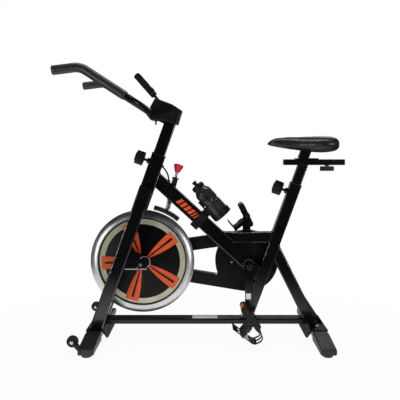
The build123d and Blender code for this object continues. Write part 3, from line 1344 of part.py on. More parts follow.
def bottle_cage():
    """Cup, spine and open clip for the bottle, on a block that sits on the down tube."""
    inner = BOTTLE_RADIUS + CAGE_GAP
    outer = inner + CAGE_WALL
    cup = extrude(bottle_plane(-CAGE_WALL - BELT_GAP) * Circle(outer), CAGE_CUP + CAGE_WALL)
    clip = extrude(bottle_plane(CAGE_RING_FROM) * Circle(outer), CAGE_RING_TO - CAGE_RING_FROM)
    spine_foot = bottle_point(0, -outer)
    spine = bar(spine_foot, bottle_point(CAGE_RING_TO, -outer), CAGE_WALL * 2, CAGE_SPINE_WIDTH)
    clamp_middle = down_point(CLAMP_ALONG)
    block_reach = (spine_foot - clamp_middle).dot(DOWN_NORMAL) + CAGE_WALL * 4
    block = bar(clamp_middle, clamp_middle + DOWN_NORMAL * block_reach, CLAMP_LENGTH, CAGE_SPINE_WIDTH)
    clip_low = bottle_point(CAGE_RING_FROM - 1, outer)
    clip_high = bottle_point(CAGE_RING_TO + 1, outer)
    front_gap = bar(clip_low, clip_high, outer * 1.7, outer * 2.5)
    well = extrude(bottle_plane(-BELT_GAP) * Circle(inner), SPOUT_TOP + CAGE_CUP)
    return cup + spine + block + (clip - front_gap) - well - down_blank()


def cage_clamp(cage):
    """Strap round the down tube with a tightening block below."""
    start = down_point(CLAMP_ALONG - CLAMP_LENGTH / 2)
    end = down_point(CLAMP_ALONG + CLAMP_LENGTH / 2)
    strap = bar(start, end, DOWN_TUBE_DEPTH + 2 * CLAMP_WALL, FRAME_WIDTH + 2 * CLAMP_WALL, TUBE_CORNER)
    under = DOWN_NORMAL * -(DOWN_TUBE_DEPTH / 2 + CLAMP_BLOCK / 2)
    strap += bar(start + under, end + under, CLAMP_BLOCK, FRAME_WIDTH - 2 * CLAMP_WALL, CLAMP_WALL)
    return largest(strap - down_blank() - cage)


def wheel_bracket():
    """Near pair of arms on the front cap's face, with the wheel's axle between them."""
    face = CAP_FACE_X
    half = WHEEL_WIDTH / 2 + WHEEL_SIDE_GAP
    base_low = STABILISER_Z - CAP_WALL + CAP_ROUND
    base_high = STABILISER_Z - CAP_WALL + CAP_NOSE_HEIGHT - CAP_ROUND
    arm = make_face(Polyline(
        (face, base_low), (WHEEL_X, WHEEL_Z - WHEEL_ARM_RADIUS), (WHEEL_X, WHEEL_Z + WHEEL_ARM_RADIUS),
        (face, base_high), close=True,
    ))
    arm += Pos(WHEEL_X, WHEEL_Z) * Circle(WHEEL_ARM_RADIUS)
    pair = slab(arm, -WHEEL_Y - half - WHEEL_ARM, -WHEEL_Y - half)
    pair += slab(arm, -WHEEL_Y + half, -WHEEL_Y + half + WHEEL_ARM)
    back = Rectangle(WHEEL_BASE, base_high - base_low)
    back_middle = Pos(face - WHEEL_BASE / 2, (base_low + base_high) / 2)
    pair += slab(back_middle * back, -WHEEL_Y - half - WHEEL_ARM, -WHEEL_Y + half + WHEEL_ARM)
    reach = half + WHEEL_ARM
    return pair + disc(WHEEL_X, WHEEL_Z, WHEEL_AXLE_RADIUS, -WHEEL_Y - reach, -WHEEL_Y + reach)


def transport_wheel():
    half = WHEEL_WIDTH / 2
    tread = WHEEL_RADIUS - WHEEL_TREAD_ROUND
    bore = WHEEL_AXLE_RADIUS + RUNNING_CLEARANCE
    recess = half - WHEEL_TREAD_ROUND
    return Pos(0, -WHEEL_Y, 0) * spun(
        side_plane(WHEEL_X, WHEEL_Z), (bore, -half), (bore + 3, -half), (bore + 4, -recess),
        (tread - 3, -recess), (tread - 1, -half), (tread, -half), (WHEEL_RADIUS, -recess),
        (WHEEL_RADIUS, recess), (tread, half), (tread - 1, half), (tread - 3, recess), (bore + 4, recess),
        (bore + 3, half), (bore, half),
    )


def both(shape):
    return shape, far_side(shape)


def save(name, *solids):
    shape = solids[0] if len(solids) == 1 else Compound(label=name, children=list(solids))
    export_step(shape, os.path.join("parts", name + ".step"))


def save_frame():
    save("base_rail", base_rail())
    ends = (FRONT_STABILISER_X, REAR_STABILISER_X)
    brackets = [stabiliser_bracket(x, inward) for x, inward in zip(ends, (1, -1))]
    save("stabiliser_brackets", *brackets)
    save("front_stabiliser", stabiliser(FRONT_STABILISER_X))
    save("rear_stabiliser", stabiliser(REAR_STABILISER_X))
    caps = [cap for x in ends for cap in both(stabiliser_cap(x))]
    save("stabiliser_caps", *caps)
    bolts = [bolt for x in ends for bolt in both(stabiliser_bolt(x, STABILISER_BOLT_Y))]
    save("stabiliser_bolts", *bolts)
    save("fork_legs", *both(fork_leg()))
    save("fork_crown", fork_crown())
    save("head_tube", head_tube())
    save("down_tube", down_tube())
    save("seat_tube", seat_tube())
    save("top_tube", top_tube())
    save("rear_strut", rear_strut())
    save("frame_gussets", *gussets())
    save("dropouts", *both(dropout()))
    save("axle_fasteners", *both(axle_nut()), *both(tensioner()))
    save("flywheel_axle", flywheel_axle())
    save("bottom_bracket", bottom_bracket())
    save("crank_bearings", *crank_bearings())
    head, head_post = (HEAD_TUBE, HEAD_TUBE), (HEAD_POST, HEAD_POST)
    seat, post = (SEAT_TUBE, FRAME_WIDTH), (SEAT_POST, SEAT_POST_WIDTH)
    save(
        "post_bushes",
        post_bush(front_point(HEAD_TOP_Z), FRONT_LEAN, head, head_post, front_point(HEAD_KNOB_Z)),
        post_bush(seat_point(SEAT_TUBE_TOP_Z), SEAT_LEAN, seat, post, seat_point(SEAT_KNOB_Z)),
    )
    save("wheel_brackets", *both(wheel_bracket()))


def save_drive():
    save("flywheel", flywheel())
    save("flywheel_rings", *both(face_ring()))
    save("flywheel_petals", *petals())
    save("flywheel_bearings", *flywheel_bearings())
    save("flywheel_pulley", flywheel_pulley())
    save("drive_belt", drive_belt())
    save("guard_inner", guard_half(
        GUARD_NEAR_Y, GUARD_SPLIT_Y, True, PULLEY_HUB_RADIUS + GUARD_HOLE_GAP,
        SMALL_PULLEY_RADIUS + PULLEY_LIP + GUARD_HOLE_GAP,
    ))
    save("guard_outer", guard_half(
        GUARD_SPLIT_Y, GUARD_FAR_Y, False, PULLEY_HUB_RADIUS + GUARD_HOLE_GAP, HUB_RADIUS + GUARD_HOLE_GAP,
    ))
    save("crank_spindle", crank_spindle())
    save("crank_pulley", crank_pulley())
    save("crank_near", crank_arm(-1, -CRANK_FAR_Y, -CRANK_NEAR_Y))
    save("crank_far", crank_arm(1, CRANK_NEAR_Y, CRANK_FAR_Y))
    save("crank_fasteners", *crank_fasteners())
    for name, side in (("near", -1), ("far", 1)):
        save("pedal_" + name, hung(level_pedal(), side))
        save("toe_cage_" + name, hung(level_toe_cage(), side))


def save_controls():
    save("handlebar_post", handlebar_post())
    save("handlebar", handlebar())
    save("handlebar_grips", *both(grip()))
    save("handlebar_cover", handlebar_cover())
    save("console", console())
    save("console_button", console_button())
    save("head_knob", pull_knob(front_point(HEAD_KNOB_Z), FRONT_LEAN, HEAD_TUBE / 2, HEAD_POST / 2))
    save("seat_knob", pull_knob(seat_point(SEAT_KNOB_Z), SEAT_LEAN, SEAT_TUBE / 2, SEAT_POST / 2))
    save("rail_knob", rail_knob())
    save("brake_guide", brake_guide())
    save("brake_rod", brake_rod())
    save("brake_pad", brake_pad())
    save("brake_spring", brake_spring())
    save("brake_knob", brake_knob())
    save("sensor_cable", sensor_cable())


def save_seat_and_extras():
    save("seat_post", seat_post())
    save("seat_slider", seat_slider())
    save("saddle", saddle())
    cage = bottle_cage()
    save("bottle", *bottle())
    save("bottle_cage", cage, cage_clamp(cage))
    near_wheel, far_wheel = both(transport_wheel())
    save("transport_wheel_near", near_wheel)
    save("transport_wheel_far", far_wheel)


os.makedirs("parts", exist_ok=True)
save_frame()
save_drive()
save_controls()
save_seat_and_extras()
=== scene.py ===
# %% [markdown]
# An indoor cycling bike, dressed over its construction model, which holds every tube, wheel and joint at
# its real size. This lesson gives each surface its finish and adds the soft and small pieces: the saddle's
# cover, the polished flywheel, foam grips, welds, screws, labels and reflectors. Lengths are metres; MM and
# mm() turn millimetres into them. +X points to the rear, +Y to the belt side and +Z up.

# %% Load the frame
import json
from math import cos, pi, radians, sin, tan

import bpy
import numpy as np
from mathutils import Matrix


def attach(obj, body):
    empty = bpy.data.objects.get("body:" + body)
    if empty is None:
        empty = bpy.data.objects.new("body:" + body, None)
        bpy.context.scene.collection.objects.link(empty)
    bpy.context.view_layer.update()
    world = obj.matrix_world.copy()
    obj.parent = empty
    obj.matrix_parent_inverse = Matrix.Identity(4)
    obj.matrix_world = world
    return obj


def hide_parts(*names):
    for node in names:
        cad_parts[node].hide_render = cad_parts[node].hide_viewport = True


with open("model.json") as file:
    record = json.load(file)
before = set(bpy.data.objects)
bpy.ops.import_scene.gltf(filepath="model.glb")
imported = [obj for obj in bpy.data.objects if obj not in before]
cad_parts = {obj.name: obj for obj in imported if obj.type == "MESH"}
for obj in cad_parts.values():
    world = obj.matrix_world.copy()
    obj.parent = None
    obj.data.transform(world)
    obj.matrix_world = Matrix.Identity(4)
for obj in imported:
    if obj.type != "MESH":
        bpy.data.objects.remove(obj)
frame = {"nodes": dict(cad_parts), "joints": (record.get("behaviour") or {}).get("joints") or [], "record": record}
nodes = frame["nodes"]
joints = {joint["name"]: joint for joint in frame["joints"]}
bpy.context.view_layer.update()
MM = 0.001

# %% [markdown]
# Pieces are placed from the joints and from the lines that the frame is drawn on: the front line of fork,
# head tube and handlebar post, the seat line, the rear strut, and the down tube between them. Each line is
# a point and a lean in the side view.

# %% Points and directions of the frame
SIDE = np.array([0.0, 1.0, 0.0])
UP = np.array([0.0, 0.0, 1.0])
REAR = np.array([1.0, 0.0, 0.0])
BOTH = (-1, 1)
FRONT_LEAN = radians(20)
SEAT_LEAN = radians(19.5)
STRUT_LEAN = radians(-26.6)
PLATE_TOP = 49 * MM
RAIL_TOP = 71 * MM
FRONT_FOOT = -414.5 * MM
SEAT_FOOT = 151 * MM
FRAME_SIDE = 21 * MM
TINY = 1e-6


def mm(*values):
    """Numbers in millimetres as an array in metres."""
    return np.array(values, float) * MM


def unit(vectors):
    return vectors / np.linalg.norm(vectors, axis=-1, keepdims=True)


def joint_point(name):
    return np.array(joints[name]["pos_m"], float)


def leaning(angle):
    """Unit vector at an angle from straight up towards the rear."""
    return np.array([sin(angle), 0.0, cos(angle)])


def across(angle):
    """Unit vector square to a leaning line, towards the rear."""
    return np.array([cos(angle), 0.0, -sin(angle)])


def front_at(z, y=0.0):
    return np.array([FRONT_FOOT + (z - PLATE_TOP) * tan(FRONT_LEAN), y, z])


def seat_at(z):
    return np.array([SEAT_FOOT + (z - RAIL_TOP) * tan(SEAT_LEAN), 0.0, z])


AXLE = joint_point("flywheel_spin")
CRANK = joint_point("crank_spin")
FRONT_LINE, FRONT_ACROSS = leaning(FRONT_LEAN), across(FRONT_LEAN)
SEAT_LINE, SEAT_ACROSS = leaning(SEAT_LEAN), across(SEAT_LEAN)
STRUT_TOP = seat_at(349 * MM)
DOWN_START = front_at(617 * MM)
DOWN = unit(seat_at(231 * MM) - DOWN_START)
DOWN_UP = np.array([-DOWN[2], 0.0, DOWN[0]])
print("axle at", AXLE, "crank at", CRANK, "down tube runs", DOWN)

# %% [markdown]
# A surface is a grid of points, worked out as one array: rows run along the piece and columns go round it.
# One helper turns grids into faces, closes the ends, and turns the faces outwards by the sign of the
# enclosed volume. Several grids can share one object, as screws do.

# %% Turn grids of points into closed meshes
SHARP_EDGE = radians(38)


def grid_faces(rows, columns, wrap_rows):
    """Quads of a grid whose columns close on themselves; wrapped rows join the last row to the first."""
    i = np.arange(rows if wrap_rows else rows - 1)[:, None]
    j = np.arange(columns)[None, :]
    down = (i + 1) % rows
    right = (j + 1) % columns
    corners = [i * columns + j, i * columns + right, down * columns + right, down * columns + j]
    return np.stack(corners, -1).reshape(-1, 4)


def fan_faces(ring, centre, flip):
    """Triangles from a ring of point numbers to a centre point."""
    following = np.roll(ring, -1)
    pair = (following, ring) if flip else (ring, following)
    return np.stack([pair[0], pair[1], np.full(len(ring), centre)], -1)


def enclosed_volume(points, faces):
    """Signed volume of a closed mesh: the sum of the tetrahedra from its middle to each triangle."""
    points = points - points.mean(0)
    total = 0.0
    for face in faces:
        for k in range(2, face.shape[1]):
            a, b, c = points[face[:, 0]], points[face[:, k - 1]], points[face[:, k]]
            total += np.einsum("ij,ij->", a, np.cross(b, c))
    return total


def add_object(name, data):
    piece = bpy.data.objects.new(name, data)
    bpy.context.scene.collection.objects.link(piece)
    return piece


def solid(name, grids, wrap_rows=False):
    """One mesh from grids of closed loops; an open grid's ends get a fan to their middle."""
    points, faces, start = [], [], 0
    for grid in grids:
        rows, columns = grid.shape[:2]
        quads = [grid_faces(rows, columns, wrap_rows)]
        cloud = grid.reshape(-1, 3)
        if not wrap_rows:
            cloud = np.vstack([cloud, grid[0].mean(0), grid[-1].mean(0)])
            first = np.arange(columns)
            quads.append(fan_faces(first, rows * columns, True))
            quads.append(fan_faces(first + (rows - 1) * columns, rows * columns + 1, False))
        if enclosed_volume(cloud, quads) < 0:
            quads = [face[:, ::-1] for face in quads]
        points.append(cloud)
        faces += [quad for face in quads for quad in (face + start).tolist()]
        start += len(cloud)
    mesh = bpy.data.meshes.new(name)
    mesh.from_pydata(np.vstack(points).tolist(), [], faces)
    mesh.polygons.foreach_set("use_smooth", np.ones(len(mesh.polygons), bool))
    mesh.set_sharp_from_angle(angle=SHARP_EDGE)
    return add_object(name, mesh)


def dress(piece, body, material):
    """A finished piece: it rides on a body and wears its material."""
    piece.data.materials.append(material)
    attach(piece, body)
    print("made", piece.name, "with", len(piece.data.polygons), "faces on", body)
    return piece


def fit(name, body, slot, material, *grids, wrap_rows=False):
    return dress(solid(name, grids, wrap_rows), body, material)


# %% [markdown]
# Most small pieces are one of three forms: a profile turned round an axis, a round section carried along a
# path, or a flat outline given a thickness with a softened rim. Each is one formula over whole arrays.

# %% Turned profiles, carried sections and flat plates
BEVEL = 0.3


def full_turn(count):
    return np.linspace(0, 2 * pi, count, endpoint=False)


def square_to(axis):
    """Two unit vectors square to an axis: the first in the side view where it can be."""
    first = np.cross(SIDE, axis)
    if np.linalg.norm(first) < TINY:
        first = REAR
    first = unit(first)
    return first, np.cross(axis, first)


def turned(origin, axis, profile, segments=48, ridges=0, depth=0.0, rows=slice(None)):
    """Each (radius, height) pair swings round the axis; a cosine of the angle ripples the chosen rows."""
    first, second = square_to(axis)
    angle = full_turn(segments)
    radius = np.repeat(profile[:, :1], segments, 1)
    radius[rows] -= depth * (0.5 + 0.5 * np.cos(ridges * angle))
    spoke = np.cos(angle)[:, None] * first + np.sin(angle)[:, None] * second
    return origin + radius[..., None] * spoke + profile[:, 1, None, None] * axis


def carried(path, radius, sides, closed=False, hint=SIDE):
    """Rings of a given radius, one square to the path at each point; the hint never runs along the path."""
    heading = unit(np.roll(path, -1, 0) - np.roll(path, 1, 0) if closed else np.gradient(path, axis=0))
    first = unit(np.cross(heading, hint))
    second = np.cross(heading, first)
    angle = full_turn(sides)[None, :, None]
    spoke = np.cos(angle) * first[:, None] + np.sin(angle) * second[:, None]
    return path[:, None] + np.reshape(radius, (-1, 1, 1)) * spoke


def rounded_loop(width, height, corner, per_corner=6):
    """A rounded rectangle as (a, b) points: four quarter circles, one about each corner's centre."""
    turn = np.arange(4)[:, None] * pi / 2 + np.linspace(0, pi / 2, per_corner)
    a = np.array([1, -1, -1, 1])[:, None] * (width / 2 - corner) + corner * np.cos(turn)
    b = np.array([1, 1, -1, -1])[:, None] * (height / 2 - corner) + corner * np.sin(turn)
    return np.stack([a, b], -1).reshape(-1, 2)


def plate(origin, right, up, loop, thickness, soften):
    """An outline laid at a place and raised along right cross up, its top rim drawn in to soften it."""
    out = np.cross(right, up)
    size = np.abs(loop).max(0)
    rim = [(thickness - soften, 0.0), (thickness - BEVEL * soften, BEVEL), (thickness, 1.0)]
    return np.stack([
        origin + (loop * (1 - draw * soften / size)) @ np.stack([right, up]) + height * out
        for height, draw in [(0.0, 0.0)] + rim
    ])


def resampled(loop, step, least=12):
    """A closed loop's points set at equal steps along it."""
    ends = np.vstack([loop, loop[:1]])
    length = np.concatenate([[0], np.cumsum(np.linalg.norm(np.diff(ends, axis=0), axis=1))])
    count = max(least, int(round(length[-1] / step)))
    at = np.linspace(0, length[-1], count, endpoint=False)
    return np.stack([np.interp(at, length, ends[:, k]) for k in range(3)], -1)


# %% [markdown]
# Every finish is a Principled surface with three kinds of variety, as real ones have: the colour wanders a
# little, the roughness follows the same wandering, and a fine bump gives the grain. Special finishes add to
# it. A socket knows its own node tree, so only new nodes need to be told theirs.

# %% A finish with wandering colour, roughness and grain
PATCH_DETAIL = 6.0
GRAIN_DETAIL = 2.0


def give(socket, value):
    """A socket's value: a link where it comes from another socket, else a constant."""
    if isinstance(value, bpy.types.NodeSocket):
        socket.id_data.links.new(value, socket)
    else:
        socket.default_value = value


def feed(node, **inputs):
    for name, value in inputs.items():
        give(node.inputs[name.replace("_", " ")], value)
    return node


def add_node(tree, kind, **inputs):
    return feed(tree.nodes.new("ShaderNode" + kind), **inputs)


def object_place(tree, stretch=(1, 1, 1), centre=(0, 0, 0)):
    """Object coordinates through a Mapping node, centred and then stretched."""
    place = add_node(tree, "TexCoord").outputs["Object"]
    shift = [-c * s for c, s in zip(centre, stretch)]
    return add_node(tree, "Mapping", Vector=place, Location=shift, Scale=stretch).outputs["Vector"]


def distance_from(tree, centre, stretch):
    """Distance of the place from a centre, along the axes that the stretch keeps."""
    node = add_node(tree, "VectorMath", Vector=object_place(tree, stretch, centre))
    node.operation = "LENGTH"
    return node.outputs["Value"]


def noise(place, grain, detail):
    return add_node(place.id_data, "TexNoise", Vector=place, Scale=1 / grain, Detail=detail).outputs["Fac"]


def spread(value, low, high, low_in=0.3, high_in=0.7):
    """A value from low_in to high_in carried to the range low to high, and held there beyond."""
    ends = {"From_Min": low_in, "From_Max": high_in, "To_Min": low, "To_Max": high}
    return add_node(value.id_data, "MapRange", Value=value, **ends).outputs["Result"]


def combine(operation, first, *others):
    """One kind of arithmetic over several values, from left to right; the first is a socket."""
    for other in others:
        node = add_node(first.id_data, "Math")
        node.operation = operation
        give(node.inputs[0], first)
        give(node.inputs[1], other)
        first = node.outputs[0]
    return first


def mix_colours(factor, first, second):
    node = add_node(factor.id_data, "Mix", Factor=factor)
    node.data_type = "RGBA"
    for socket, colour in ((node.inputs[6], first), (node.inputs[7], second)):
        give(socket, (*colour, 1) if isinstance(colour, tuple) else colour)
    return node.outputs[2]


def raise_bump(height, depth):
    """A bump of a height socket added on top of whatever bump the surface already has."""
    normal = height.id_data.nodes["Principled BSDF"].inputs["Normal"]
    bump = add_node(height.id_data, "Bump", Height=height, Strength=1.0, Distance=depth)
    if normal.is_linked:
        give(bump.inputs["Normal"], normal.links[0].from_socket)
    give(normal, bump.outputs["Normal"])


def finish(name, colour, shade, rough, texture=(50, 0.8, 0.02), gloss=0.5, **sockets):
    """Principled finish: patches from colour to shade and from low to high roughness, and a grained bump.

    The texture is the size of the patches, the size of the grain and the depth of the bump, in millimetres.
    """
    material = bpy.data.materials.new(name)
    material.use_nodes = True
    tree = material.node_tree
    place = object_place(tree)
    patch, grain, depth = mm(*texture)
    wander = noise(place, patch, PATCH_DETAIL)
    paint = mix_colours(spread(wander, 0, 1), colour, shade)
    rough = spread(wander, *rough)
    shader = tree.nodes["Principled BSDF"]
    feed(shader, Base_Color=paint, Roughness=rough, Specular_IOR_Level=gloss, **sockets)
    raise_bump(noise(place, grain, GRAIN_DETAIL), depth)
    return material


# %% [markdown]
# The finishes of this bike: gloss black enamel on the tubes, a duller one on the low brackets, moulded
# black plastics, foam on the grips, zinc-plated steel, orange and pale gold lacquers on the flywheel, and
# rubber. Black enamel is nearly all reflection, so its base is very dark and its clear coat draws the long
# thin highlights along the corners of the tubes.

# %% The bike's own finishes
ENAMEL = finish(
    "black_enamel", (0.0012, 0.0012, 0.0014), (0.0022, 0.0022, 0.0025), (0.13, 0.19), (90, 4, 0.02),
    gloss=0.55, Coat_Weight=0.5, Coat_Roughness=0.06,
)
SATIN = finish(
    "satin_enamel", (0.0025, 0.0025, 0.003), (0.0045, 0.0045, 0.005), (0.2, 0.3), (70, 2, 0.03), gloss=0.4,
)
MOULDED = finish(
    "moulded_black", (0.0035, 0.0035, 0.004), (0.006, 0.006, 0.0065), (0.34, 0.46), (30, 1.1, 0.014),
    gloss=0.35,
)
BOOT = finish(
    "grained_boot", (0.009, 0.009, 0.0095), (0.016, 0.016, 0.0165), (0.42, 0.56), (12, 1.4, 0.09),
)
GUARD = finish(
    "guard_black", (0.0018, 0.0018, 0.002), (0.0035, 0.0035, 0.004), (0.3, 0.42), (60, 1.1, 0.05),
    gloss=0.25,
)
FOAM = finish(
    "grip_foam", (0.013, 0.013, 0.014), (0.021, 0.021, 0.022), (0.36, 0.5), (10, 1.5, 0.04), gloss=0.8,
)
ZINC = finish("zinc_plate", (0.62, 0.62, 0.62), (0.5, 0.5, 0.49), (0.2, 0.36), (10, 0.6, 0.03), Metallic=1.0)
BLACKENED = finish(
    "blackened_steel", (0.02, 0.02, 0.021), (0.035, 0.035, 0.036), (0.28, 0.42), (6, 0.6, 0.04), Metallic=0.6,
)
ORANGE = finish("orange_lacquer", (0.72, 0.09, 0.013), (0.6, 0.07, 0.01), (0.3, 0.42), (30, 1.2, 0.03))
CREAM = finish(
    "pale_gold_lacquer", (0.6, 0.57, 0.43), (0.48, 0.455, 0.34), (0.24, 0.36), (50, 1.2, 0.03), Metallic=0.35,
)
RED = finish("red_gloss", (0.56, 0.022, 0.034), (0.46, 0.015, 0.024), (0.2, 0.3), (20, 0.8, 0.02))
RUBBER = finish(
    "black_rubber", (0.009, 0.009, 0.009), (0.017, 0.017, 0.0165), (0.5, 0.68), (15, 0.9, 0.1), gloss=0.4,
)
FELT = finish("brake_felt", (0.012, 0.0115, 0.011), (0.028, 0.027, 0.025), (0.85, 0.95), (6, 0.8, 0.3))
SMOKED = finish(
    "smoked_bottle", (0.014, 0.014, 0.0155), (0.022, 0.022, 0.0235), (0.24, 0.34), (40, 3, 0.1), gloss=0.6,
)
CONSOLE = finish(
    "console_black", (0.006, 0.006, 0.0068), (0.011, 0.011, 0.0118), (0.3, 0.42), (20, 0.6, 0.04),
)
LABEL = finish("plain_label", (0.8, 0.79, 0.73), (0.72, 0.71, 0.64), (0.4, 0.55), (12, 0.8, 0.02))
AMBER = finish(
    "amber_reflector", (0.72, 0.2, 0.016), (0.55, 0.14, 0.01), (0.12, 0.22), (4, 1.2, 0.3), Coat_Weight=0.6,
)
GLASS_GREY = finish(
    "display_grey", (0.26, 0.29, 0.24), (0.22, 0.25, 0.21), (0.12, 0.2), (15, 0.6, 0.01), Coat_Weight=0.8,
)

SLOT_FINISH = {
    "frame_paint": ENAMEL, "black_plastic": MOULDED, "guard_plastic": GUARD, "rubber": RUBBER,
    "grip_foam": FOAM, "saddle_cover": MOULDED, "zinc": ZINC, "flywheel_black": ENAMEL, "orange": ORANGE,
    "cream": CREAM, "red": RED, "belt_rubber": RUBBER, "pad_felt": FELT, "bottle_plastic": SMOKED,
    "console_plastic": CONSOLE,
}
NODE_FINISH = {
    "base_rail": SATIN, "stabiliser_brackets": SATIN, "front_stabiliser": SATIN, "rear_stabiliser": SATIN,
    "stabiliser_caps": BOOT, "crank_fasteners": BLACKENED, "brake_guide": SATIN, "wheel_brackets": SATIN,
}
for part in frame["record"]["subparts"]:
    name = part["node"]
    nodes[name].data.materials.clear()
    nodes[name].data.materials.append(NODE_FINISH.get(name, SLOT_FINISH[part["material_slot"]]))

# %% [markdown]
# Some pieces wear two finishes: the flywheel has a polished rim round a black face, the axle's nuts are
# blackened above a bright belt tensioner, and the brake rod is bright above the frame and black below. A
# mask by radius or by height changes one Principled surface from one look to the other. A look is a colour,
# a roughness and a share of metal.

# %% A finish that changes at an edge
BLACK_PART = ((0.01, 0.01, 0.0105), 0.34, 0.3)
BRIGHT_PART = ((0.6, 0.6, 0.59), 0.26, 1.0)
NUT_EDGE = AXLE[2] - 9.5 * MM
ROD_EDGE = 536 * MM
BEFORE_FADE = 0.8
AFTER_FADE = 0.84
SMEAR_PATCH = 30 * MM
SMEAR_DETAIL = 5.0
SMEAR = 0.05


def faded(wander, colour, fade):
    """A colour that wanders towards a darker share of itself."""
    return mix_colours(wander, colour, tuple(channel * fade for channel in colour))


def two_tone(name, measure, edge, before, after, soft=0.4 * MM):
    """Colour, roughness and metal go from one look to the next where a measure passes an edge."""
    material = finish(name, before[0], before[0], (before[1], before[1]))
    tree = material.node_tree
    passed = spread(measure(tree), 0, 1, edge - soft, edge + soft)
    wander = noise(object_place(tree), SMEAR_PATCH, SMEAR_DETAIL)
    plain = faded(wander, before[0], BEFORE_FADE)
    worn = faded(wander, after[0], AFTER_FADE)
    rough = spread(passed, before[1], after[1], 0, 1)
    smeared = combine("ADD", rough, spread(wander, -SMEAR, SMEAR))
    metal = spread(passed, before[2], after[2], 0, 1)
    paint = mix_colours(passed, plain, worn)
    feed(tree.nodes["Principled BSDF"], Base_Color=paint, Roughness=smeared, Metallic=metal)
    return material


def height_of(tree):
    return add_node(tree, "SeparateXYZ", Vector=object_place(tree)).outputs["Z"]


def radius_from_axle(tree):
    """Distance from the flywheel's axle, in the side view."""
    return distance_from(tree, (AXLE[0], 0, AXLE[2]), (1, 0, 1))


nodes["axle_fasteners"].data.materials[0] = two_tone(
    "axle_fastener_steel", height_of, NUT_EDGE, BRIGHT_PART, BLACK_PART
)
nodes["brake_rod"].data.materials[0] = two_tone(
    "brake_rod_steel", height_of, ROD_EDGE, BLACK_PART, BRIGHT_PART
)

# %% [markdown]
# The flywheel is a heavy turned disc: a polished rim whose sides swell and fall away to a narrow edge, a
# black web and face, and a hub. A finely stepped rim mirrors the room smoothly, dark above and pale below,
# where it reflects a painted glow on the floor, and fine circles from the lathe run round it.

# %% The flywheel, turned in one piece
RIM_INSIDE, RIM_OUTSIDE, RIM_SHOULDER, RIM_EDGE = mm(169, 197, 12, 4)
RIM_SWELL = 3 * MM
RIM_STEPS = 22
FACE_RADIUS, FACE_HALF, FACE_DRAFT, WEB_HALF = mm(143, 5, 0.1, 3)
HUB_RADIUS, HUB_BORE, HUB_NEAR, HUB_FAR = mm(20, 14, 34, 46)
TURNED_EDGE = 0.8 * MM
WHEEL_SEGMENTS = 240
WHEEL_BLACK = ((0.0015, 0.0015, 0.0017), 0.36, 0.0)
RIM_STEEL = ((0.74, 0.74, 0.75), 0.34, 1.0)
PAINT_EDGE = RIM_INSIDE - 0.5 * MM
PAINT_GLOSS = 0.2
LATHE_LINE, LATHE_DEPTH = mm(0.7, 0.002)
RIM_TILT = 0.12


def rim_side(side):
    """An arc from the rim's shoulder through its swelling to the narrow edge, as (radius, y) pairs."""
    share = np.linspace(0, 1, RIM_STEPS)
    bulge = 4 * RIM_SWELL * share * (1 - share)
    half = RIM_SHOULDER + share * (RIM_EDGE - RIM_SHOULDER) + bulge
    return np.stack([RIM_INSIDE + share * (RIM_OUTSIDE - RIM_INSIDE), side * half], -1)


def face_side(side, hub):
    """One side's (radius, y) pairs: from the bore over hub, face and web to the rim's inner wall."""
    return np.array([
        (HUB_BORE, hub), (HUB_RADIUS - TURNED_EDGE, hub), (HUB_RADIUS, hub - TURNED_EDGE),
        (HUB_RADIUS, FACE_HALF), (FACE_RADIUS - FACE_DRAFT, FACE_HALF), (FACE_RADIUS, WEB_HALF),
        (RIM_INSIDE, WEB_HALF), (RIM_INSIDE, RIM_SHOULDER - TURNED_EDGE),
    ]) * (1, side)


def flywheel_profile():
    """Closed (radius, y) section, out along the near face, over the rim and back along the far face."""
    near = [face_side(-1, HUB_NEAR), rim_side(-1)]
    far = [rim_side(1)[::-1], face_side(1, HUB_FAR)[::-1]]
    return np.vstack(near + far)


def rim_steel():
    """Polished steel beyond the rim's inner edge, black enamel inside it, with fine lathe circles.

    The circles are cut as tiny steps that all face outwards: a bump that falls steadily with the radius.
    """
    material = two_tone("polished_rim", radius_from_axle, PAINT_EDGE, WHEEL_BLACK, RIM_STEEL)
    tree = material.node_tree
    feed(tree.nodes["Principled BSDF"], Specular_IOR_Level=PAINT_GLOSS)
    lines = add_node(tree, "TexNoise", Scale=1 / LATHE_LINE, Detail=GRAIN_DETAIL)
    lines.noise_dimensions = "1D"
    feed(lines, W=radius_from_axle(tree))
    raise_bump(lines.outputs["Fac"], LATHE_DEPTH)
    raise_bump(radius_from_axle(tree), -RIM_TILT)
    return material


rings = turned(AXLE, SIDE, flywheel_profile(), WHEEL_SEGMENTS)
flywheel = fit("turned_flywheel", "flywheel", "flywheel_black", rim_steel(), rings, wrap_rows=True)
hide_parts("flywheel")

# %% [markdown]
# The saddle is moulded foam under a stretched, grained cover. Along it, the half-width, the lower edge and
# the crown change from a slim nose to a broad tail; round each section a line runs from the flat base over
# drawn-in sides to a crowned top.

# %% The saddle's form
SADDLE_X = mm(223, 240, 285, 335, 390, 440, 462, 477, 486)
SADDLE_HALF = mm(15, 24, 34, 48, 79, 91, 83, 64, 38)
SADDLE_LOW = mm(726, 722, 714, 707, 700, 699, 702, 707, 714)
SADDLE_HIGH = mm(739, 750, 757, 758, 760, 762, 760, 752, 741)
SADDLE_ROWS = 120
SADDLE_COLUMNS = 112
NOSE_ROUND, TAIL_ROUND = mm(16, 9)
BLUNTNESS = 2.4
END_SHARE = 0.012
LIFT_POWER = 0.72
REACH_POWER = 0.82
PINCH = 0.17
PINCH_POWER = 1.4
ALONG = 0.5 - 0.5 * np.cos(pi * np.linspace(END_SHARE, 1 - END_SHARE, SADDLE_ROWS))
ROUND = full_turn(SADDLE_COLUMNS)


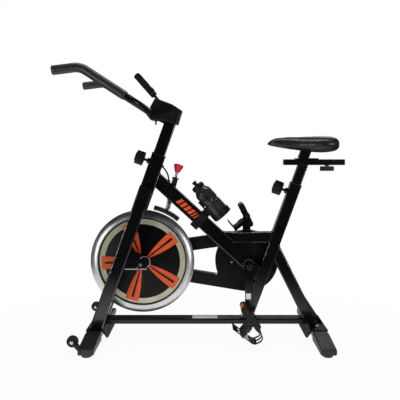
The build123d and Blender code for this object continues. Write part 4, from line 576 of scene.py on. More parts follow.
def eased(stations, values, at):
    """Smooth curve through values: a cubic between stations with slopes from their neighbours."""
    slope = np.gradient(values, stations)
    k = np.clip(np.searchsorted(stations, at, side="right") - 1, 0, len(stations) - 2)
    gap = stations[k + 1] - stations[k]
    t = (at - stations[k]) / gap
    return (
        (2 * t**3 - 3 * t**2 + 1) * values[k] + (t**3 - 2 * t**2 + t) * gap * slope[k]
        + (-2 * t**3 + 3 * t**2) * values[k + 1] + (t**3 - t**2) * gap * slope[k + 1]
    )


def blunt(distance, reach):
    """From 0 at an end to 1 a reach away, along a squared-off quarter ellipse."""
    return (1 - np.clip(1 - distance / reach, 0, 1) ** BLUNTNESS) ** (1 / BLUNTNESS)


def squared_off(wave, power):
    """A wave from -1 to 1 with its size raised to a power and its sign kept."""
    return np.sign(wave) * np.abs(wave) ** power


def saddle_surface(inset):
    """Rows run nose to tail; columns run round a squared-off oval, drawn in below its middle."""
    x = SADDLE_X[0] + ALONG * (SADDLE_X[-1] - SADDLE_X[0])
    end = blunt(x - SADDLE_X[0], NOSE_ROUND) * blunt(SADDLE_X[-1] - x, TAIL_ROUND)
    low = eased(SADDLE_X, SADDLE_LOW, x) + inset
    high = eased(SADDLE_X, SADDLE_HIGH, x) - inset
    half = (eased(SADDLE_X, SADDLE_HALF, x) - inset) * end
    middle = low + 0.5 * (high - low)
    lift = squared_off(np.sin(ROUND), LIFT_POWER)
    reach = squared_off(np.cos(ROUND), REACH_POWER)
    pinch = 1 - PINCH * np.clip(-lift, 0, 1) ** PINCH_POWER
    y = half[:, None] * (reach * pinch)[None, :]
    z = middle[:, None] + (0.5 * (high - low) * end)[:, None] * lift[None, :]
    return np.stack([np.broadcast_to(x[:, None], y.shape), y, z], -1)


COVER_SLACK = 2 * MM
saddle = solid("saddle_cover", [saddle_surface(COVER_SLACK)])
print("saddle cover of", SADDLE_ROWS, "rows and", SADDLE_COLUMNS, "columns")

# %% [markdown]
# The cover is blown up a little as cloth over that form, held at its base, which gives the soft fullness of
# padding. Blown cloth creases finely, so its movement is capped and averaged with its neighbours' many
# times. The relief channel and the side seams are smooth dips pressed in after that.

# %% The cover, blown up, calmed and sewn
COVER_CAP = 4 * MM
BLOWING_FRAMES = 20
BLOWING_PRESSURE = 4
CALMING_PASSES = 120
HELD_BELOW = -0.6
CHANNEL_DEPTH, CHANNEL_EDGE = mm(2.5, 5)
CHANNEL_SHARE = 0.13
CHANNEL_FROM, CHANNEL_RISE = 0.3, 0.15
CHANNEL_TO, CHANNEL_FALL = 0.95, 0.1
SEAM_DEPTH = 0.9 * MM
SEAM_ANGLE = 0.16
SEAM_WIDTH = 0.03
PEBBLE, PEBBLE_DEPTH = mm(1.7, 0.04)


def points_of(mesh):
    points = np.empty(len(mesh.vertices) * 3)
    mesh.vertices.foreach_get("co", points)
    return points.reshape(-1, 3)


def move_points(mesh, points):
    mesh.vertices.foreach_set("co", points.ravel())
    mesh.update()


def saddle_grid(points):
    """The cover's points without its two end points, as rows and columns."""
    return points[:SADDLE_ROWS * SADDLE_COLUMNS].reshape(SADDLE_ROWS, SADDLE_COLUMNS, 3)


def calmed(step):
    """The cloth's movement with its creases averaged out: half a point's own step, half its neighbours'."""
    grid = saddle_grid(step)
    for _ in range(CALMING_PASSES):
        rows = np.pad(grid, ((1, 1), (0, 0), (0, 0)), mode="edge")
        beside = np.roll(grid, 1, 1) + np.roll(grid, -1, 1)
        grid = 0.5 * grid + 0.125 * (rows[:-2] + rows[2:] + beside)
    return np.vstack([grid.reshape(-1, 3), grid[0].mean(0), grid[-1].mean(0)])


def blow_up(piece, held):
    """Cloth blown up by pressure from inside, held where told, no point moving further than the cap."""
    start = points_of(piece.data)
    group = piece.vertex_groups.new(name="held")
    group.add(np.flatnonzero(held).tolist(), 1.0, "REPLACE")
    cloth = piece.modifiers.new("cover", "CLOTH")
    cloth.settings.vertex_group_mass = group.name
    cloth.settings.use_pressure = True
    cloth.settings.uniform_pressure_force = BLOWING_PRESSURE
    cloth.settings.effector_weights.gravity = 0
    for frame_number in range(1, BLOWING_FRAMES + 1):
        bpy.context.scene.frame_set(frame_number)
    step = points_of(piece.evaluated_get(bpy.context.evaluated_depsgraph_get()).data) - start
    piece.modifiers.remove(cloth)
    piece.vertex_groups.remove(group)
    bpy.context.scene.frame_set(1)
    length = np.linalg.norm(step, axis=1)[:, None]
    step = calmed(step * np.minimum(1, COVER_CAP / np.maximum(length, TINY)))
    move_points(piece.data, start + step)
    print("cover moved, average and most in mm:", *np.round([length.mean() / MM, length.max() / MM], 2))


def sew(piece):
    """Down the middle a shallow channel, and on each side a seam, as smooth dips across the columns."""
    points = points_of(piece.data)
    grid = saddle_grid(points)
    half = np.abs(grid[..., 1]).max(1)[:, None]
    run = np.clip((ALONG - CHANNEL_FROM) / CHANNEL_RISE, 0, 1)
    run = run * np.clip((CHANNEL_TO - ALONG) / CHANNEL_FALL, 0, 1)
    dip = np.exp(-(grid[..., 1] / (CHANNEL_SHARE * half + CHANNEL_EDGE)) ** 2)
    grid[..., 2] -= CHANNEL_DEPTH * dip * (np.sin(ROUND) > 0) * run[:, None]
    side = np.minimum(np.abs(ROUND - SEAM_ANGLE), np.abs(ROUND - (pi - SEAM_ANGLE)))
    seam = np.exp(-(side / SEAM_WIDTH) ** 2)[None, :, None]
    grid += SEAM_DEPTH * seam * unit(grid.mean(1)[:, None] - grid)
    move_points(piece.data, points)


def leather():
    """Pebbled grain: rounded cells raise the surface between fine creases."""
    material = finish(
        "grained_cover", (0.0085, 0.0085, 0.009), (0.015, 0.015, 0.0155), (0.3, 0.42), (20, 1.2, 0.04),
        gloss=0.55,
    )
    tree = material.node_tree
    cells = add_node(tree, "TexVoronoi", Scale=1 / PEBBLE, Vector=object_place(tree))
    cells.feature = "SMOOTH_F1"
    raise_bump(spread(cells.outputs["Distance"], 1, 0, 0.1, 0.8), PEBBLE_DEPTH)
    return material


base_columns = np.broadcast_to(np.sin(ROUND) < HELD_BELOW, (SADDLE_ROWS, SADDLE_COLUMNS)).ravel()
blow_up(saddle, np.concatenate([base_columns, [True, True]]))
sew(saddle)
dress(saddle, "saddle", leather())
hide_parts("saddle")

# %% [markdown]
# The handlebar is one bent tube: a cross bar, two elbows, and two horns that rise forwards to level ends. A
# foam sleeve covers each horn, with a rounded lip at its free end. Both are a round section carried along
# straight runs and arcs; an arc follows from a corner and its bending radius.

# %% Bent bar and foam sleeves
GRIP_END = mm(-505.5, 227, 970)
HORN = mm(-416.5, 227, 981)
ELBOW = mm(-204, 227, 844)
HORN_BEND, ELBOW_BEND, GRIP_STOP, GRIP_RADIUS = mm(60, 75, 4, 15.5)
GRIP_LIP, GRIP_HEM = mm(4, 1.2)
LIP_STEPS = 7
BAR_RADIUS = 12.5 * MM
BAR_SIDES = 36
MIRROR = np.array([1, -1, 1])


def bend(before, corner, after, radius, steps=18):
    """The arc that rounds a corner: a circle touching both runs, as points from one run to the other."""
    a = unit(before - corner)
    b = unit(after - corner)
    half = np.arccos(np.clip(a @ b, -1, 1)) / 2
    centre = corner + unit(a + b) * radius / np.sin(half)
    start = corner + a * radius / np.tan(half) - centre
    end = corner + b * radius / np.tan(half) - centre
    sweep = np.arccos(np.clip(start @ end / radius**2, -1, 1))
    t = np.linspace(0, 1, steps)[:, None]
    return centre + (np.sin((1 - t) * sweep) * start + np.sin(t * sweep) * end) / np.sin(sweep)


def sleeve(side):
    """A foam sleeve's rings along the horn; the radius closes in a quarter circle at its free end."""
    flip = np.where(side < 0, MIRROR, 1)
    stop = ELBOW + unit(HORN - ELBOW) * (ELBOW_BEND + GRIP_STOP)
    arc = bend(GRIP_END, HORN, stop, HORN_BEND)
    tip = GRIP_END + unit(GRIP_END - HORN) * GRIP_LIP
    turn = np.linspace(0, pi / 2, LIP_STEPS)[:, None]
    nose = tip + (1 - np.cos(turn)) * (GRIP_END - tip)
    straight = GRIP_END + np.linspace(0.1, 0.9, 8)[:, None] * (arc[0] - GRIP_END)
    rest = arc[-1] + np.linspace(0.1, 0.97, 14)[:, None] * (stop - arc[-1])
    path = np.vstack([nose, straight, arc, rest, stop])
    radius = np.full(len(path), GRIP_RADIUS)
    radius[:LIP_STEPS] = GRIP_RADIUS - GRIP_LIP * (1 - np.sin(turn[:, 0]))
    radius[-1] = GRIP_RADIUS - GRIP_HEM
    return carried(path * flip, radius, BAR_SIDES)


def cross_bar():
    """The bare bar from sleeve to sleeve: a straight run between two elbows."""
    start = ELBOW + unit(HORN - ELBOW) * (ELBOW_BEND + 3 * GRIP_STOP)
    elbow = bend(start, ELBOW, ELBOW * MIRROR, ELBOW_BEND, 28)
    half = np.vstack([start[None], elbow])
    run = np.linspace(elbow[-1], elbow[-1] * MIRROR, 24)[1:-1]
    path = np.vstack([half, run, half[::-1] * MIRROR])
    return carried(path, BAR_RADIUS, BAR_SIDES, hint=np.cross(HORN - ELBOW, SIDE))


bar = fit("bent_bar", "handlebar", "frame_paint", SATIN, cross_bar())
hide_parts("handlebar")
grips = fit("foam_sleeves", "handlebar", "grip_foam", FOAM, sleeve(1), sleeve(-1))
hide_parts("handlebar_grips")

# %% [markdown]
# The drinking bottle is blown plastic, so every edge is round: the flask has a finger groove, the cap has
# moulded grip ridges, and the spout flares at its lip. Rounded profiles show one long soft highlight.

# %% Bottle
BOTTLE_FOOT = mm(59, 0, 467)
BOTTLE_LINE = leaning(radians(-42))
FLASK = mm(
    (24, 0), (28.5, 0), (31, 1.2), (32.3, 4), (32.5, 8), (32.5, 20), (32.5, 34), (32.5, 48), (32.5, 59),
    (32, 61), (30.6, 62.6), (30, 64.2), (30, 67.8), (30.6, 69.4), (32, 71), (32.5, 73), (32.5, 86),
    (32.5, 98), (32.5, 109), (32.2, 112.5), (31, 116), (28.4, 120.4), (25, 125.4), (22.6, 129.4),
    (22, 131.9),
)
CAP = mm(
    (20, 132), (24.4, 132), (25, 132.6), (25, 138), (25, 143.4), (24, 146), (21.5, 148.6), (18.5, 150),
    (9.5, 150.3), (7.4, 150.8), (7, 152), (7, 157.6), (7.6, 158.4), (9, 159.2), (9, 163.6), (8.2, 165.4),
    (6.6, 166),
)
CAP_RIDGES = 32
RIDGE_DEPTH = 0.7 * MM
RIDGED_ROWS = slice(1, 6)
flask_rings = turned(BOTTLE_FOOT, BOTTLE_LINE, FLASK, 72)
flask = fit("bottle_flask", "bottle", "bottle_plastic", SMOKED, flask_rings)
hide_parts("bottle")
cap_rings = turned(BOTTLE_FOOT, BOTTLE_LINE, CAP, 96, CAP_RIDGES, RIDGE_DEPTH, RIDGED_ROWS)
fit("bottle_cap", "bottle", "black_plastic", MOULDED, cap_rings)

# %% [markdown]
# The frame is welded, then painted. A weld is a bead where one tube's end meets another's wall: the tube's
# rounded section, slid along the tube until it meets the wall's plane. Its ripple is a cosine of the
# distance along it. A tube's size is its depth in the side view and its width.

# %% Weld beads
WELD_RADIUS, WELD_PITCH = mm(2.3, 3.2)
WELD_RIPPLE = 0.14
PITCH_STEPS = 6
TUBE_CORNER = 5 * MM
HEAD_SIZE, DOWN_SIZE, TOP_SIZE = mm(50, 50), mm(50, 42), mm(39, 42)
SEAT_SIZE, STRUT_SIZE, LEG_SIZE = mm(42, 42), mm(43, 42), mm(46, 25)


def joint_loop(start, heading, size, wall, normal):
    """A tube's rounded section moved along its heading, point by point, onto a wall's plane."""
    beside = unit(np.cross(SIDE, heading))
    ring = start + rounded_loop(*size, TUBE_CORNER) @ np.stack([beside, SIDE])
    reach = ((wall - ring) @ normal) / (heading @ normal)
    return ring + reach[:, None] * heading


def bead(loop, normal):
    """A round section along the loop whose radius swells and shrinks once every pitch."""
    path = resampled(loop, WELD_PITCH / PITCH_STEPS)
    ripple = 1 + WELD_RIPPLE * np.cos(np.arange(len(path)) * 2 * pi / PITCH_STEPS)
    return carried(path, WELD_RADIUS * ripple, 8, closed=True, hint=normal)


STRUT = leaning(STRUT_LEAN)
TOP_TUBE = mm(0, 0, 381.5)
HEAD_WALL = DOWN_START + FRONT_ACROSS * HEAD_SIZE[0] / 2
DOWN_WALL = DOWN_START + DOWN_UP * DOWN_SIZE[0] / 2
SEAT_FRONT = STRUT_TOP - SEAT_ACROSS * SEAT_SIZE[0] / 2
SEAT_REAR = STRUT_TOP + SEAT_ACROSS * SEAT_SIZE[0] / 2
RAIL_PLANE = UP * RAIL_TOP
PLATE_PLANE = UP * PLATE_TOP
LEG_MIDDLE = 68.5 * MM
HEAD_FOOT = front_at(552 * MM)
WELDS = [
    (DOWN_START, DOWN, DOWN_SIZE, HEAD_WALL, FRONT_ACROSS),
    (DOWN_START, DOWN, DOWN_SIZE, SEAT_FRONT, SEAT_ACROSS),
    (TOP_TUBE, REAR, TOP_SIZE, SEAT_FRONT, SEAT_ACROSS),
    (TOP_TUBE, REAR, TOP_SIZE, DOWN_WALL, DOWN_UP),
    (STRUT_TOP, STRUT, STRUT_SIZE, SEAT_REAR, SEAT_ACROSS),
    (STRUT_TOP, STRUT, STRUT_SIZE, RAIL_PLANE, UP),
    (STRUT_TOP, SEAT_LINE, SEAT_SIZE, RAIL_PLANE, UP),
    (HEAD_FOOT, FRONT_LINE, HEAD_SIZE, HEAD_FOOT, FRONT_LINE),
    (front_at(PLATE_TOP, LEG_MIDDLE), FRONT_LINE, LEG_SIZE, PLATE_PLANE, UP),
    (front_at(PLATE_TOP, -LEG_MIDDLE), FRONT_LINE, LEG_SIZE, PLATE_PLANE, UP),
]
beads = [bead(joint_loop(*weld), weld[-1]) for weld in WELDS]
fit("weld_beads", "frame", "frame_paint", ENAMEL, *beads, wrap_rows=True)

# %% [markdown]
# Moulded plugs close the tops of the fork legs and both ends of the seat rail. Each is a rounded outline
# with a softened rim; its two numbers are thickness and softening.

# %% Tube end plugs
LEG_TOP = 574 * MM
RAIL_FRONT, RAIL_REAR = mm(287.5, 0, 664.5), mm(509.4, 0, 664.5)
LEG_PLUG, FRONT_PLUG, REAR_PLUG = mm(2.2, 1.4), mm(2, 1.2), mm(0.6, 0.4)
leg_outline = rounded_loop(*mm(45, 24), TUBE_CORNER)
rail_outline = rounded_loop(*mm(39, 20, 3))
leg_plugs = [
    plate(front_at(LEG_TOP, side * LEG_MIDDLE), FRONT_ACROSS, SIDE, leg_outline, *LEG_PLUG) for side in BOTH
]
fit("leg_plugs", "frame", "black_plastic", MOULDED, *leg_plugs)
rail_plugs = [
    plate(RAIL_FRONT, -SIDE, UP, rail_outline, *FRONT_PLUG),
    plate(RAIL_REAR, SIDE, UP, rail_outline, *REAR_PLUG),
]
fit("seat_rail_plugs", "seat_post", "black_plastic", MOULDED, *rail_plugs)

# %% [markdown]
# Screws hold the belt guard and the handlebar cover. A pan head is a dome with a cross pressed into it: the
# height falls towards the rim, and drops where a point lies in either arm of the cross. The head's sizes
# are shares of its radius.

# %% Cross-head screws
SCREW_ROWS = np.concatenate([[1.0, 1.0, 0.97], np.linspace(0.9, 0.04, 16)])
SCREW_COLUMNS = 40
HEAD_SUNK, HEAD_EDGE, HEAD_DOME = -0.1, 0.3, 0.32
ARM_HALF, ARM_SOFT = 0.14, 0.05
CROSS_REACH, CROSS_SOFT, CROSS_DEPTH = 0.62, 0.08, 0.34


def screw(origin, out, radius):
    """Rows go up the head's side and in over its dome; the cross is a smooth-edged dip in its middle."""
    first, second = square_to(out)
    angle = full_turn(SCREW_COLUMNS)
    a = SCREW_ROWS[:, None] * np.cos(angle)
    b = SCREW_ROWS[:, None] * np.sin(angle)
    dome = HEAD_EDGE + HEAD_DOME * np.sqrt(np.clip(1 - SCREW_ROWS**2, 0, 1))
    dome[0] = HEAD_SUNK
    arm = np.clip((ARM_HALF - np.minimum(np.abs(a), np.abs(b))) / ARM_SOFT, 0, 1)
    inside = np.clip((CROSS_REACH - np.hypot(a, b)) / CROSS_SOFT, 0, 1)
    height = dome[:, None] - CROSS_DEPTH * arm * inside
    return origin + radius * (a[..., None] * first + b[..., None] * second + height[..., None] * out)


GUARD_SCREW, COVER_SCREW, NEAR_GUARD, FAR_GUARD = mm(4.2, 4, 21, 48)
COVER_SIDE = 42 * MM
NEAR_SCREWS = mm((94.5, 281), (35, 235), (-120, 333), (-205, 250), (40, 352))
FAR_RING = 105 * MM
FAR_TURN = full_turn(6) + 0.5
far_round = CRANK[[0, 2]] + FAR_RING * np.stack([np.cos(FAR_TURN), np.sin(FAR_TURN)], -1)
FAR_SCREWS = np.vstack([far_round, mm((-120, 333), (-120, 243), (-205, 250), (-205, 326))])
COVER_SCREWS = mm((-128, 842), (-186, 868))
guard_screws = [screw(np.array([x, NEAR_GUARD, z]), -SIDE, GUARD_SCREW) for x, z in NEAR_SCREWS]
guard_screws += [screw(np.array([x, FAR_GUARD, z]), SIDE, GUARD_SCREW) for x, z in FAR_SCREWS]
fit("guard_screws", "frame", "zinc", ZINC, *guard_screws)
cover_screws = [
    screw(np.array([x, side * COVER_SIDE, z]), side * SIDE, COVER_SCREW)
    for x, z in COVER_SCREWS for side in BOTH
]
fit("cover_screws", "handlebar", "zinc", BLACKENED, *cover_screws)

# %% [markdown]
# Turned hardware: dust caps over the crank bolts, domed ends on the transport wheels' axles, a clamp bolt
# below the handlebar cover, rubber grommets where the sensor cable enters the tubes, and a pressed cap on
# each pull knob.

# %% Dust caps, axle ends, clamp bolt, grommets and knob caps
DUST_CAP = mm((11, 0), (11.6, 0.6), (11.6, 2.6), (10.8, 3.4), (8.6, 3.8), (8.2, 3.3), (4, 3.4), (1, 3.5))
AXLE_END = mm((6.5, 0), (6.5, 1.6), (5.8, 2.8), (4, 3.6), (1, 4))
CLAMP_BOLT = mm((5, -2), (5, 4), (4.6, 4.5), (3, 4.6), (3, 15.4), (2.4, 16.6), (0.6, 17))
GROMMET = mm(
    (3.1, -0.5), (6.6, -0.5), (6.9, 0.6), (6.5, 1.8), (4.9, 2.6), (4.7, 4.6), (4.2, 5.4), (3.1, 5.6),
)
KNOB_CAP = mm((15.5, -0.5), (15.5, 0.8), (14.6, 1.6), (12.8, 1.8), (12.4, 1.2), (5, 1.0), (1, 1.0))
CRANK_FACE, WHEEL_ARM_OUT = mm(83, 13.6)
CLAMP_PLACE = mm(-189, -24, 818)
CABLE_TOP = front_at(658 * MM) + FRONT_ACROSS * HEAD_SIZE[0] / 2
CABLE_FOOT = DOWN_WALL + DOWN * 62 * MM
KNOBS = [
    ("head_knob", front_at(659.6 * MM), FRONT_ACROSS, 80 * MM),
    ("seat_knob", seat_at(549.3 * MM), SEAT_ACROSS, 76 * MM),
]
dust_caps = [turned(CRANK + side * CRANK_FACE * SIDE, side * SIDE, DUST_CAP) for side in BOTH]
fit("dust_caps", "crank", "black_plastic", MOULDED, *dust_caps)
axle_ends = [
    turned(joint_point(name) + side * WHEEL_ARM_OUT * SIDE, side * SIDE, AXLE_END, 32)
    for name in ("transport_wheel_near_spin", "transport_wheel_far_spin") for side in BOTH
]
fit("wheel_axle_ends", "frame", "zinc", ZINC, *axle_ends)
fit("clamp_bolt", "handlebar", "zinc", BLACKENED, turned(CLAMP_PLACE, -UP, CLAMP_BOLT, 24))
grommets = [turned(CABLE_TOP, FRONT_ACROSS, GROMMET, 32), turned(CABLE_FOOT, DOWN_UP, GROMMET, 32)]
fit("cable_grommets", "frame", "rubber", RUBBER, *grommets)
for body, foot, rearward, reach in KNOBS:
    fit(body + "_cap", body, "black_plastic", CONSOLE, turned(foot - rearward * reach, -rearward, KNOB_CAP))

# %% [markdown]
# Each orange petal has a black stripe that widens outwards along its slit. It is printed on: a very thin
# tapered plate on the petal's face, turned about the axle.

# %% Black stripes on the petals
BOX_CORNERS = np.array([(-1, -1), (1, -1), (1, 1), (-1, 1)])
STRIPE_ANGLES = np.radians(38 + 72 * np.arange(5))
STRIPE_FROM, STRIPE_TO = mm(44, 143)
STRIPE_HALF = mm(2.4, 4.9)
STRIPE_PRINT = mm(0.2, 0.05)
PETAL_FACE = 7.5 * MM
stripe_run = np.full(4, (STRIPE_TO - STRIPE_FROM) / 2)
stripe_loop = BOX_CORNERS * np.stack([stripe_run, STRIPE_HALF[[0, 1, 1, 0]]], -1)
stripes = []
for angle in STRIPE_ANGLES:
    outward = np.array([np.cos(angle), 0, np.sin(angle)])
    middle = AXLE + outward * (STRIPE_FROM + STRIPE_TO) / 2 - SIDE * PETAL_FACE
    stripes.append(plate(middle, outward, np.cross(outward, SIDE), stripe_loop, *STRIPE_PRINT))
fit("petal_stripes", "flywheel", "flywheel_black", GUARD, *stripes)

# %% [markdown]
# The dropout plates are painted; their rounded ends are where the axle slides for belt tension. A thin
# bright bead along each end's arc is a painted highlight on that edge.

# %% Painted highlight on the dropouts' ends
ARC_TURN = np.linspace(radians(140), radians(-75), 48)
ARC_MIDDLE = AXLE + mm(14, 0, 9)
ARC_RADIUS, HIGHLIGHT_BEAD, DROPOUT_SIDE = mm(20.2, 1.5, 55.6)
arc = np.stack([np.cos(ARC_TURN), np.zeros_like(ARC_TURN), np.sin(ARC_TURN)], -1) * ARC_RADIUS + ARC_MIDDLE
# A painted highlight: thin bright beads along the dropouts' rounded ends.
highlight_arcs = [carried(arc + side * DROPOUT_SIDE * SIDE, HIGHLIGHT_BEAD, 10) for side in BOTH]
fit("dropout_rims", "frame", "zinc", ZINC, *highlight_arcs)

# %% [markdown]
# Labels and marks: a blank pale sticker on the near crank, a blank one along the base rail, and a row of
# slanted orange bars on the near side of the down tube in place of any name. A sticker is a very thin
# plate.

# %% Plain labels and orange bars
STICKER = mm(0.3, 0.1)
CRANK_LABEL, RAIL_LABEL = mm(151, -76, 172), mm(-9, -3, 71)
CRANK_STICKER, RAIL_STICKER = rounded_loop(*mm(19, 22, 1.5)), rounded_loop(*mm(96, 36, 1.5))
fit("crank_label", "crank", "cream", LABEL, plate(CRANK_LABEL, REAR, UP, CRANK_STICKER, *STICKER))
fit("rail_label", "frame", "cream", LABEL, plate(RAIL_LABEL, REAR, SIDE, RAIL_STICKER, *STICKER))

BARS_START = 138 * MM
BAR_WIDTHS = mm(13, 13, 13, 13, 5, 5, 5)
BAR_GAP, BAR_HALF, BAR_SLANT = mm(6, 12, 9)
BAR_PRINT = mm(0.3, 0.05)


def slanted_bars():
    """Parallelograms set along the down tube's near side, with equal gaps; the last three are narrow."""
    starts = BARS_START + np.concatenate([[0], np.cumsum(BAR_WIDTHS[:-1] + BAR_GAP)])
    rows = []
    for start, width in zip(starts, BAR_WIDTHS):
        middle = DOWN_START + DOWN * (start + width / 2) - FRAME_SIDE * SIDE
        corners = BOX_CORNERS * np.array([width / 2, BAR_HALF])
        corners[:, 0] += np.sign(corners[:, 1]) * BAR_SLANT / 2
        rows.append(plate(middle, DOWN, DOWN_UP, corners, *BAR_PRINT))
    return rows


fit("orange_bars", "frame", "orange", ORANGE, *slanted_bars())

# %% [markdown]
# The pedals hang from the cranks' ends, turned by their cages. Their small pieces are worked out on a level
# pedal and then turned with it: amber reflectors, rows of grip studs, and a buckle on each strap.

# %% Pedal reflectors, studs and buckles
PEDALS = {"pedal_near": (-1, radians(-128)), "pedal_far": (1, radians(-116))}
REFLECTOR_PLACE = mm(48, 128.5, 0)
REFLECTOR_LOOP = rounded_loop(*mm(44, 11, 2))
REFLECTOR_PLATE = mm(1.8, 0.8)
STUD = mm((2.4, -0.5), (2.4, 0), (1.5, 1.5), (0.5, 1.7))
STUD_X, STUD_Z = 42, 9
STUD_ROW = range(104, 155, 10)
BUCKLE_LEAN = radians(76)
BUCKLE_PLACE = mm(-24, 167, 30)
BUCKLE_LOOP, PRONG_LOOP = rounded_loop(*mm(22, 18, 3)), rounded_loop(*mm(5, 14, 2))
BUCKLE_PLATE, PRONG_PLATE = mm(3.4, 1), mm(1.6, 1)


def hung(grid, pedal):
    """Points of a level pedal turned about its spindle, mirrored to its side and moved to its joint."""
    side, turn = PEDALS[pedal]
    x, y, z = np.moveaxis(grid, -1, 0)[..., None]
    spindle = joint_point(pedal + "_spin") * (1, 0, 1)
    return spindle + x * across(turn) + side * y * SIDE + z * leaning(turn)


reflectors = [
    plate(REFLECTOR_PLACE * (end, 1, 1), end * SIDE, UP, REFLECTOR_LOOP, *REFLECTOR_PLATE)
    for end in (1, -1)
]
studs = [
    turned(mm(end * STUD_X, y, lift * STUD_Z), lift * UP, STUD, 12)
    for end in BOTH for y in STUD_ROW for lift in BOTH
]
buckle_axes = across(BUCKLE_LEAN), -leaning(BUCKLE_LEAN)
buckle = [
    plate(BUCKLE_PLACE, *buckle_axes, BUCKLE_LOOP, *BUCKLE_PLATE),
    plate(BUCKLE_PLACE + SIDE * BUCKLE_PLATE[0], *buckle_axes, PRONG_LOOP, *PRONG_PLATE),
]
PEDAL_PIECES = [
    ("_reflectors", "orange", AMBER, reflectors), ("_studs", "black_plastic", MOULDED, studs),
    ("_buckle", "black_plastic", CONSOLE, buckle),
]
for pedal in PEDALS:
    for ending, slot, material, grids in PEDAL_PIECES:
        fit(pedal + ending, pedal, slot, material, *[hung(grid, pedal) for grid in grids])

# %% [markdown]
# The console faces the rider. Its display is a grey panel behind a clear coat, set in the housing's recess,
# with a raised bezel and a row of seven-segment zeros, as such a meter shows before a ride.

# %% Display, bezel and segments
CONSOLE_LEAN = radians(48.5)
CONSOLE_OUT = leaning(CONSOLE_LEAN)
CONSOLE_UP = -across(CONSOLE_LEAN)
SCREEN_PLACE = mm(-228.5, 0, 947) + CONSOLE_UP * 16 * MM
SCREEN_BACK = SCREEN_PLACE + CONSOLE_OUT * 10.4 * MM
SCREEN_FACE = SCREEN_PLACE + CONSOLE_OUT * 11.3 * MM
SCREEN_LOOP = rounded_loop(*mm(53.6, 41.6, 3))
SCREEN_PLATE = mm(0.9, 0.3)
BEZEL_MIDDLE = SCREEN_PLACE + CONSOLE_OUT * 12 * MM
BEZEL_LOOP = rounded_loop(*mm(56, 44, 4))
BEZEL_STEP, BEZEL_RADIUS = mm(1, 1.1)
screen = plate(SCREEN_BACK, SIDE, CONSOLE_UP, SCREEN_LOOP, *SCREEN_PLATE)
fit("display_panel", "handlebar", "console_plastic", GLASS_GREY, screen)
bezel_path = resampled(BEZEL_MIDDLE + BEZEL_LOOP @ np.stack([SIDE, CONSOLE_UP]), BEZEL_STEP)
bezel = carried(bezel_path, BEZEL_RADIUS, 10, closed=True, hint=CONSOLE_OUT)
fit("display_bezel", "handlebar", "console_plastic", CONSOLE, bezel, wrap_rows=True)

SEGMENT_LONG, SEGMENT_HALF = mm(5.6, 0.6)
SEGMENT_PRINT = mm(0.12, 0.03)
ROW_SHARE, COLUMN_SHARE = 1.1, 0.55
DIGITS = mm(-17, -5, 5, 15)
COLON_PLACE, COLON_LIFT, COLON_DOT = mm(-11, 2.5, 1.8)
QUARTER_TURN = np.array([[0, 1], [-1, 0]])
ZERO = [(0, ROW_SHARE, False), (0, -ROW_SHARE, False)]
ZERO += [(a * COLUMN_SHARE, b * COLUMN_SHARE, True) for a in (1, -1) for b in (1, -1)]


def segment(right_offset, up_offset, upright, length=SEGMENT_LONG):
    """A thin bar with pointed ends, lying or standing, on the display."""
    tip, shoulder = length / 2, length / 2 - SEGMENT_HALF
    a = [tip, shoulder, -shoulder, -tip, -shoulder, shoulder]
    b = np.array([0, 1, 1, 0, -1, -1]) * SEGMENT_HALF
    outline = np.stack([a, b], -1)
    if upright:
        outline = outline @ QUARTER_TURN
    place = SCREEN_FACE + SIDE * right_offset + CONSOLE_UP * up_offset
    return plate(place, SIDE, CONSOLE_UP, outline, *SEGMENT_PRINT)


segments = [
    segment(digit + a * SEGMENT_LONG, b * SEGMENT_LONG, upright)
    for digit in DIGITS for a, b, upright in ZERO
]
segments += [segment(COLON_PLACE, side * COLON_LIFT, False, COLON_DOT) for side in BOTH]
fit("display_segments", "handlebar", "console_plastic", CONSOLE, *segments)

# %% [markdown]
# The camera looks almost square at the bike's near side, from about the height of the bars, through a
# normal lens. Its place and tilt come from the photo's vanishing point and floor line; the small shift
# keeps the vanishing point in place.

# %% Camera
CAMERA_PLACE = (-0.0125, -2.0, 0.721)
CAMERA_TILT = radians(90 - 5.68)

eye = bpy.data.cameras.new("camera")
eye.lens = 48
eye.sensor_width = 36
eye.shift_x = -0.01
camera = add_object("camera", eye)
camera.location = CAMERA_PLACE
camera.rotation_euler = (CAMERA_TILT, 0, 0)
bpy.context.scene.camera = camera

# %% [markdown]
# A white studio: seen directly, floor and room are white, and the floor keeps a soft shadow under the bike.
# What polished metal mirrors is a painted glow on the floor round the wheel, a room grey at the sides, a
# paler backdrop and a dark ceiling, which turns the rim from black above to white below. Light Path tells
# the rays apart. A row of four is a level, the level it goes to, and where that change begins and ends.

# %% Floor and room
FLOOR_HALF = 9.0
FLOOR_STRETCH = (0.7, 1, 0)
FLOOR_WHITE = (0.94, 1.0, 0.4, 0.9)
# Painted glow on the floor round the wheel, seen only in reflections, which lights the rim's lower part.
PAINTED_RIM_GLOW = (1.0, 0.03, 0.5, 1.1)
ROOM_LIGHT = 0.55
ROOM_SIDES = 0.25
ROOM_LEAST = 0.02
ROOM_BEYOND = (0.0, 0.3, 0.1, 0.8)
ROOM_CEILING = (1.0, 0.02, -0.05, 0.3)


def seen_rays(tree):
    """Two values: 1 for rays straight from the camera, and 1 for rays mirrored or let through."""
    rays = add_node(tree, "LightPath").outputs
    mirrored = combine("MAXIMUM", rays["Is Glossy Ray"], rays["Is Transmission Ray"])
    return rays["Is Camera Ray"], mirrored


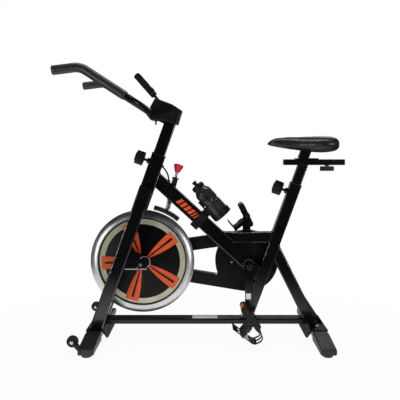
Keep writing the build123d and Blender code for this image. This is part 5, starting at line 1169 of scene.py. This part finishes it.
def floor_paint():
    """Diffuse paint for the light; to the camera mostly plain white, more so away from the bike.
    Mirrored rays see a painted glow on the floor round the wheel, dark further off, which the rim reflects.
    """
    material = finish(
        "pale_floor", (0.9, 0.9, 0.9), (0.88, 0.88, 0.88), (0.7, 0.8), (500, 4, 0.02), gloss=0.0,
    )
    tree = material.node_tree
    camera_ray, mirrored = seen_rays(tree)
    whiteness = spread(distance_from(tree, (0, 0, 0), FLOOR_STRETCH), *FLOOR_WHITE)
    share = combine("ADD", combine("MULTIPLY", camera_ray, whiteness), mirrored)
    # A painted glow: to mirrored rays the floor round the wheel glows white, fading dark further off.
    painted_glow = spread(distance_from(tree, (AXLE[0], 0, 0), (1, 1, 0)), *PAINTED_RIM_GLOW)
    strength = combine("ADD", camera_ray, combine("MULTIPLY", mirrored, painted_glow))
    white = add_node(tree, "Emission", Strength=strength)
    mix = add_node(tree, "MixShader")
    paint = tree.nodes["Principled BSDF"]
    for socket, source in zip(mix.inputs, (share, paint.outputs[0], white.outputs[0])):
        give(socket, source)
    feed(tree.nodes["Material Output"], Surface=mix.outputs[0])
    return material


def pale_floor():
    points = np.hstack([BOX_CORNERS * FLOOR_HALF, np.zeros((4, 1))])
    mesh = bpy.data.meshes.new("floor")
    mesh.from_pydata(points.tolist(), [], [range(4)])
    mesh.materials.append(floor_paint())
    floor = add_object("floor", mesh)


def studio_room():
    """White to the camera; mirrored, grey at the sides, paler beyond and dark overhead; else even light."""
    world = bpy.data.worlds.new("studio")
    world.use_nodes = True
    tree = world.node_tree
    camera_ray, mirrored = seen_rays(tree)
    place = add_node(tree, "TexCoord").outputs["Generated"]
    x, y, z = add_node(tree, "SeparateXYZ", Vector=place).outputs
    sides = combine("MULTIPLY", x, x, ROOM_SIDES)
    level = combine("ADD", sides, spread(y, *ROOM_BEYOND), ROOM_LEAST)
    seen = combine("MULTIPLY", level, spread(z, *ROOM_CEILING), mirrored)
    unseen = combine("ADD", spread(mirrored, ROOM_LIGHT, 0, 0, 1), seen)
    strength = combine("MAXIMUM", camera_ray, unseen)
    feed(tree.nodes["Background"], Color=(1, 1, 1, 1), Strength=strength)
    bpy.context.scene.world = world


pale_floor()
studio_room()

# %% [markdown]
# Soft lamps: a low narrow one on each side of the camera draws the line down each tube's corner and
# brightens the rim's sides, a long narrow one overhead draws the line along the tops, and a broad weak one
# beyond the bike parts its far side from the room.

# %% Lamps
def lamp(name, place, target, size, power):
    """A soft rectangular lamp turned towards a target."""
    light = bpy.data.lights.new(name, "AREA")
    light.shape = "RECTANGLE"
    light.size, light.size_y = size
    light.energy = power
    holder = add_object(name, light)
    holder.location = place
    run = np.subtract(target, place)
    flat = np.hypot(run[0], run[1])
    holder.rotation_euler = (np.arctan2(flat, -run[2]), 0, np.arctan2(run[0], -run[1]) + pi)


lamp("left", (-1.75, -2.0, 0.36), (-0.1, 0, 0.5), (0.16, 0.62), 13)
lamp("right", (1.6, -2.0, 0.42), (0.1, 0, 0.5), (0.18, 0.62), 13)
lamp("above", (0.0, 0.1, 2.5), (0, 0, 0.45), (1.8, 0.16), 16)
lamp("behind", (0.6, 2.2, 1.6), (0, 0, 0.5), (1.4, 0.8), 8)
bpy.context.scene.view_settings.view_transform = "Standard"
